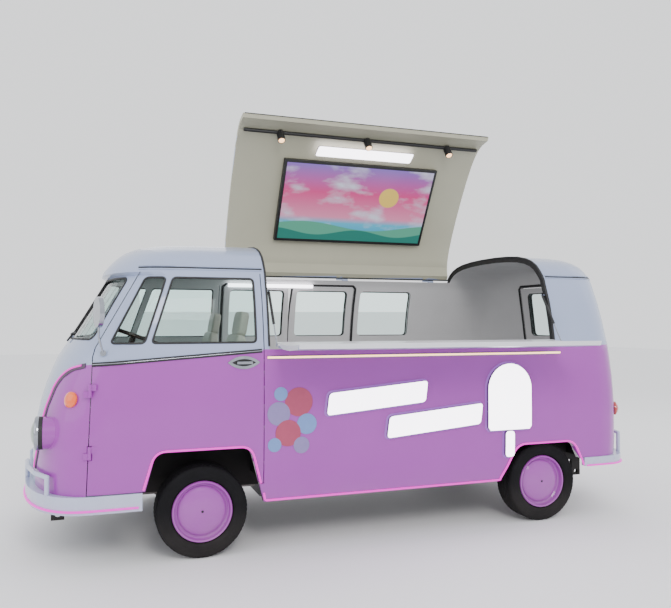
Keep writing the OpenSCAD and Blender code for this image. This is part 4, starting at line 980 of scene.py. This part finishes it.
# Wheels: pressed steel rims and domed caps with a black middle screw, in the body's pink, on black tyres
# with ribbed road tread and a raised line round the sidewall.
dress("wheel_front_left wheel_front_right wheel_rear_left wheel_rear_right", pink_paint)
tyre_rubber = finish(
    "tyre_rubber", (14, 14, 16), (20, 20, 22), (0.66, 0.85), scale=12, fine=420, bump=0.3, dust=0.06,
    dust_top=0.35, Specular_IOR_Level=0.15)
tyre_r, bead_r, tyre_half, tyre_y, shoulder = 0.320, 0.2112, 0.0975, 0.8045, 0.036
crown_r, crown_fade, line_r, line_proud = 0.306, 0.012, 0.272, 0.0012
groove_y, groove_half, groove_depth = np.array([0.0, 0.034]), 0.0042, 0.007
notch_count, notch_slant, notch_half, notch_from, notch_share = 66, 22, 0.16, 0.046, 0.75


def tread(axle_x, side):
    """A tyre: its rounded section (across, radius) carried round the axle; ribs are cut by three grooves
    round the tread, and the shoulders by slanting notches that repeat with the angle."""
    corners = [(-tyre_half, bead_r), (tyre_half, bead_r), (tyre_half, tyre_r), (-tyre_half, tyre_r)]
    across, radius = spaced(rounded(corners, shoulder, 9), 0.0045, True).T[:, None]
    turn = circle(264)[:, None]
    top = np.clip((radius - crown_r) / crown_fade, 0, 1)
    groove = np.exp(-((np.abs(across[..., None]) - groove_y) / groove_half) ** 4).max(-1)
    phase = (turn * notch_count / (2 * np.pi) + np.abs(across) * notch_slant) % 1
    notch = np.exp(-((phase - 0.5) / notch_half) ** 4) * (np.abs(across) > notch_from)
    line = np.exp(-((radius - line_r) / 0.004) ** 2) * (1 - top) * line_proud
    reach = radius - top * np.maximum(groove, notch_share * notch) * groove_depth
    wide = across + np.sign(across) * line
    grid = stacked(axle_x + reach * np.cos(turn), side * tyre_y + wide, tyre_r + reach * np.sin(turn))
    return grid, True, True


for end, axle_x in (("front", front_axle_x), ("rear", rear_axle_x)):
    for side, name in sides:
        body = f"{end}_{name}_wheel"
        obj = piece(f"{end}_{name}_tread", [tread(axle_x, side)], tyre_rubber, body, "tyre", 35)
        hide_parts(f"tyre_{end}_{name}")
        disc = vectors(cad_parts[f"wheel_{end}_{name}"].data.vertices, "co")
        near = np.hypot(disc[:, 0] - axle_x, disc[:, 2] - tyre_r) < 0.05
        cap_y = np.abs(disc[near][:, 1]).max()
        turn, radius = circle(20)[:, None], np.array([0.009, 0.009, 0.007, 0.0])
        lift = np.array([-0.004, 0.001, 0.002, 0.002])
        x, z = axle_x + radius * np.cos(turn), tyre_r + radius * np.sin(turn)
        screw = stacked(x, side * (cap_y + lift), z)
        piece(f"{end}_{name}_cap_screw", [(screw, True, False)], rubber, body, "chrome")

# Inside: a lit tube of milky white plastic over the far doors, clipped along the roof rail so that it shines
# out through the serving side.
lamp_line = stacked(np.linspace(-0.05, 0.80, 30), -0.735, 1.985)
lamp_tube = sweep(lamp_line, np.eye(3)[1], ring(0.018))
lit("inside_tube_lamp", [lamp_tube], white_light)
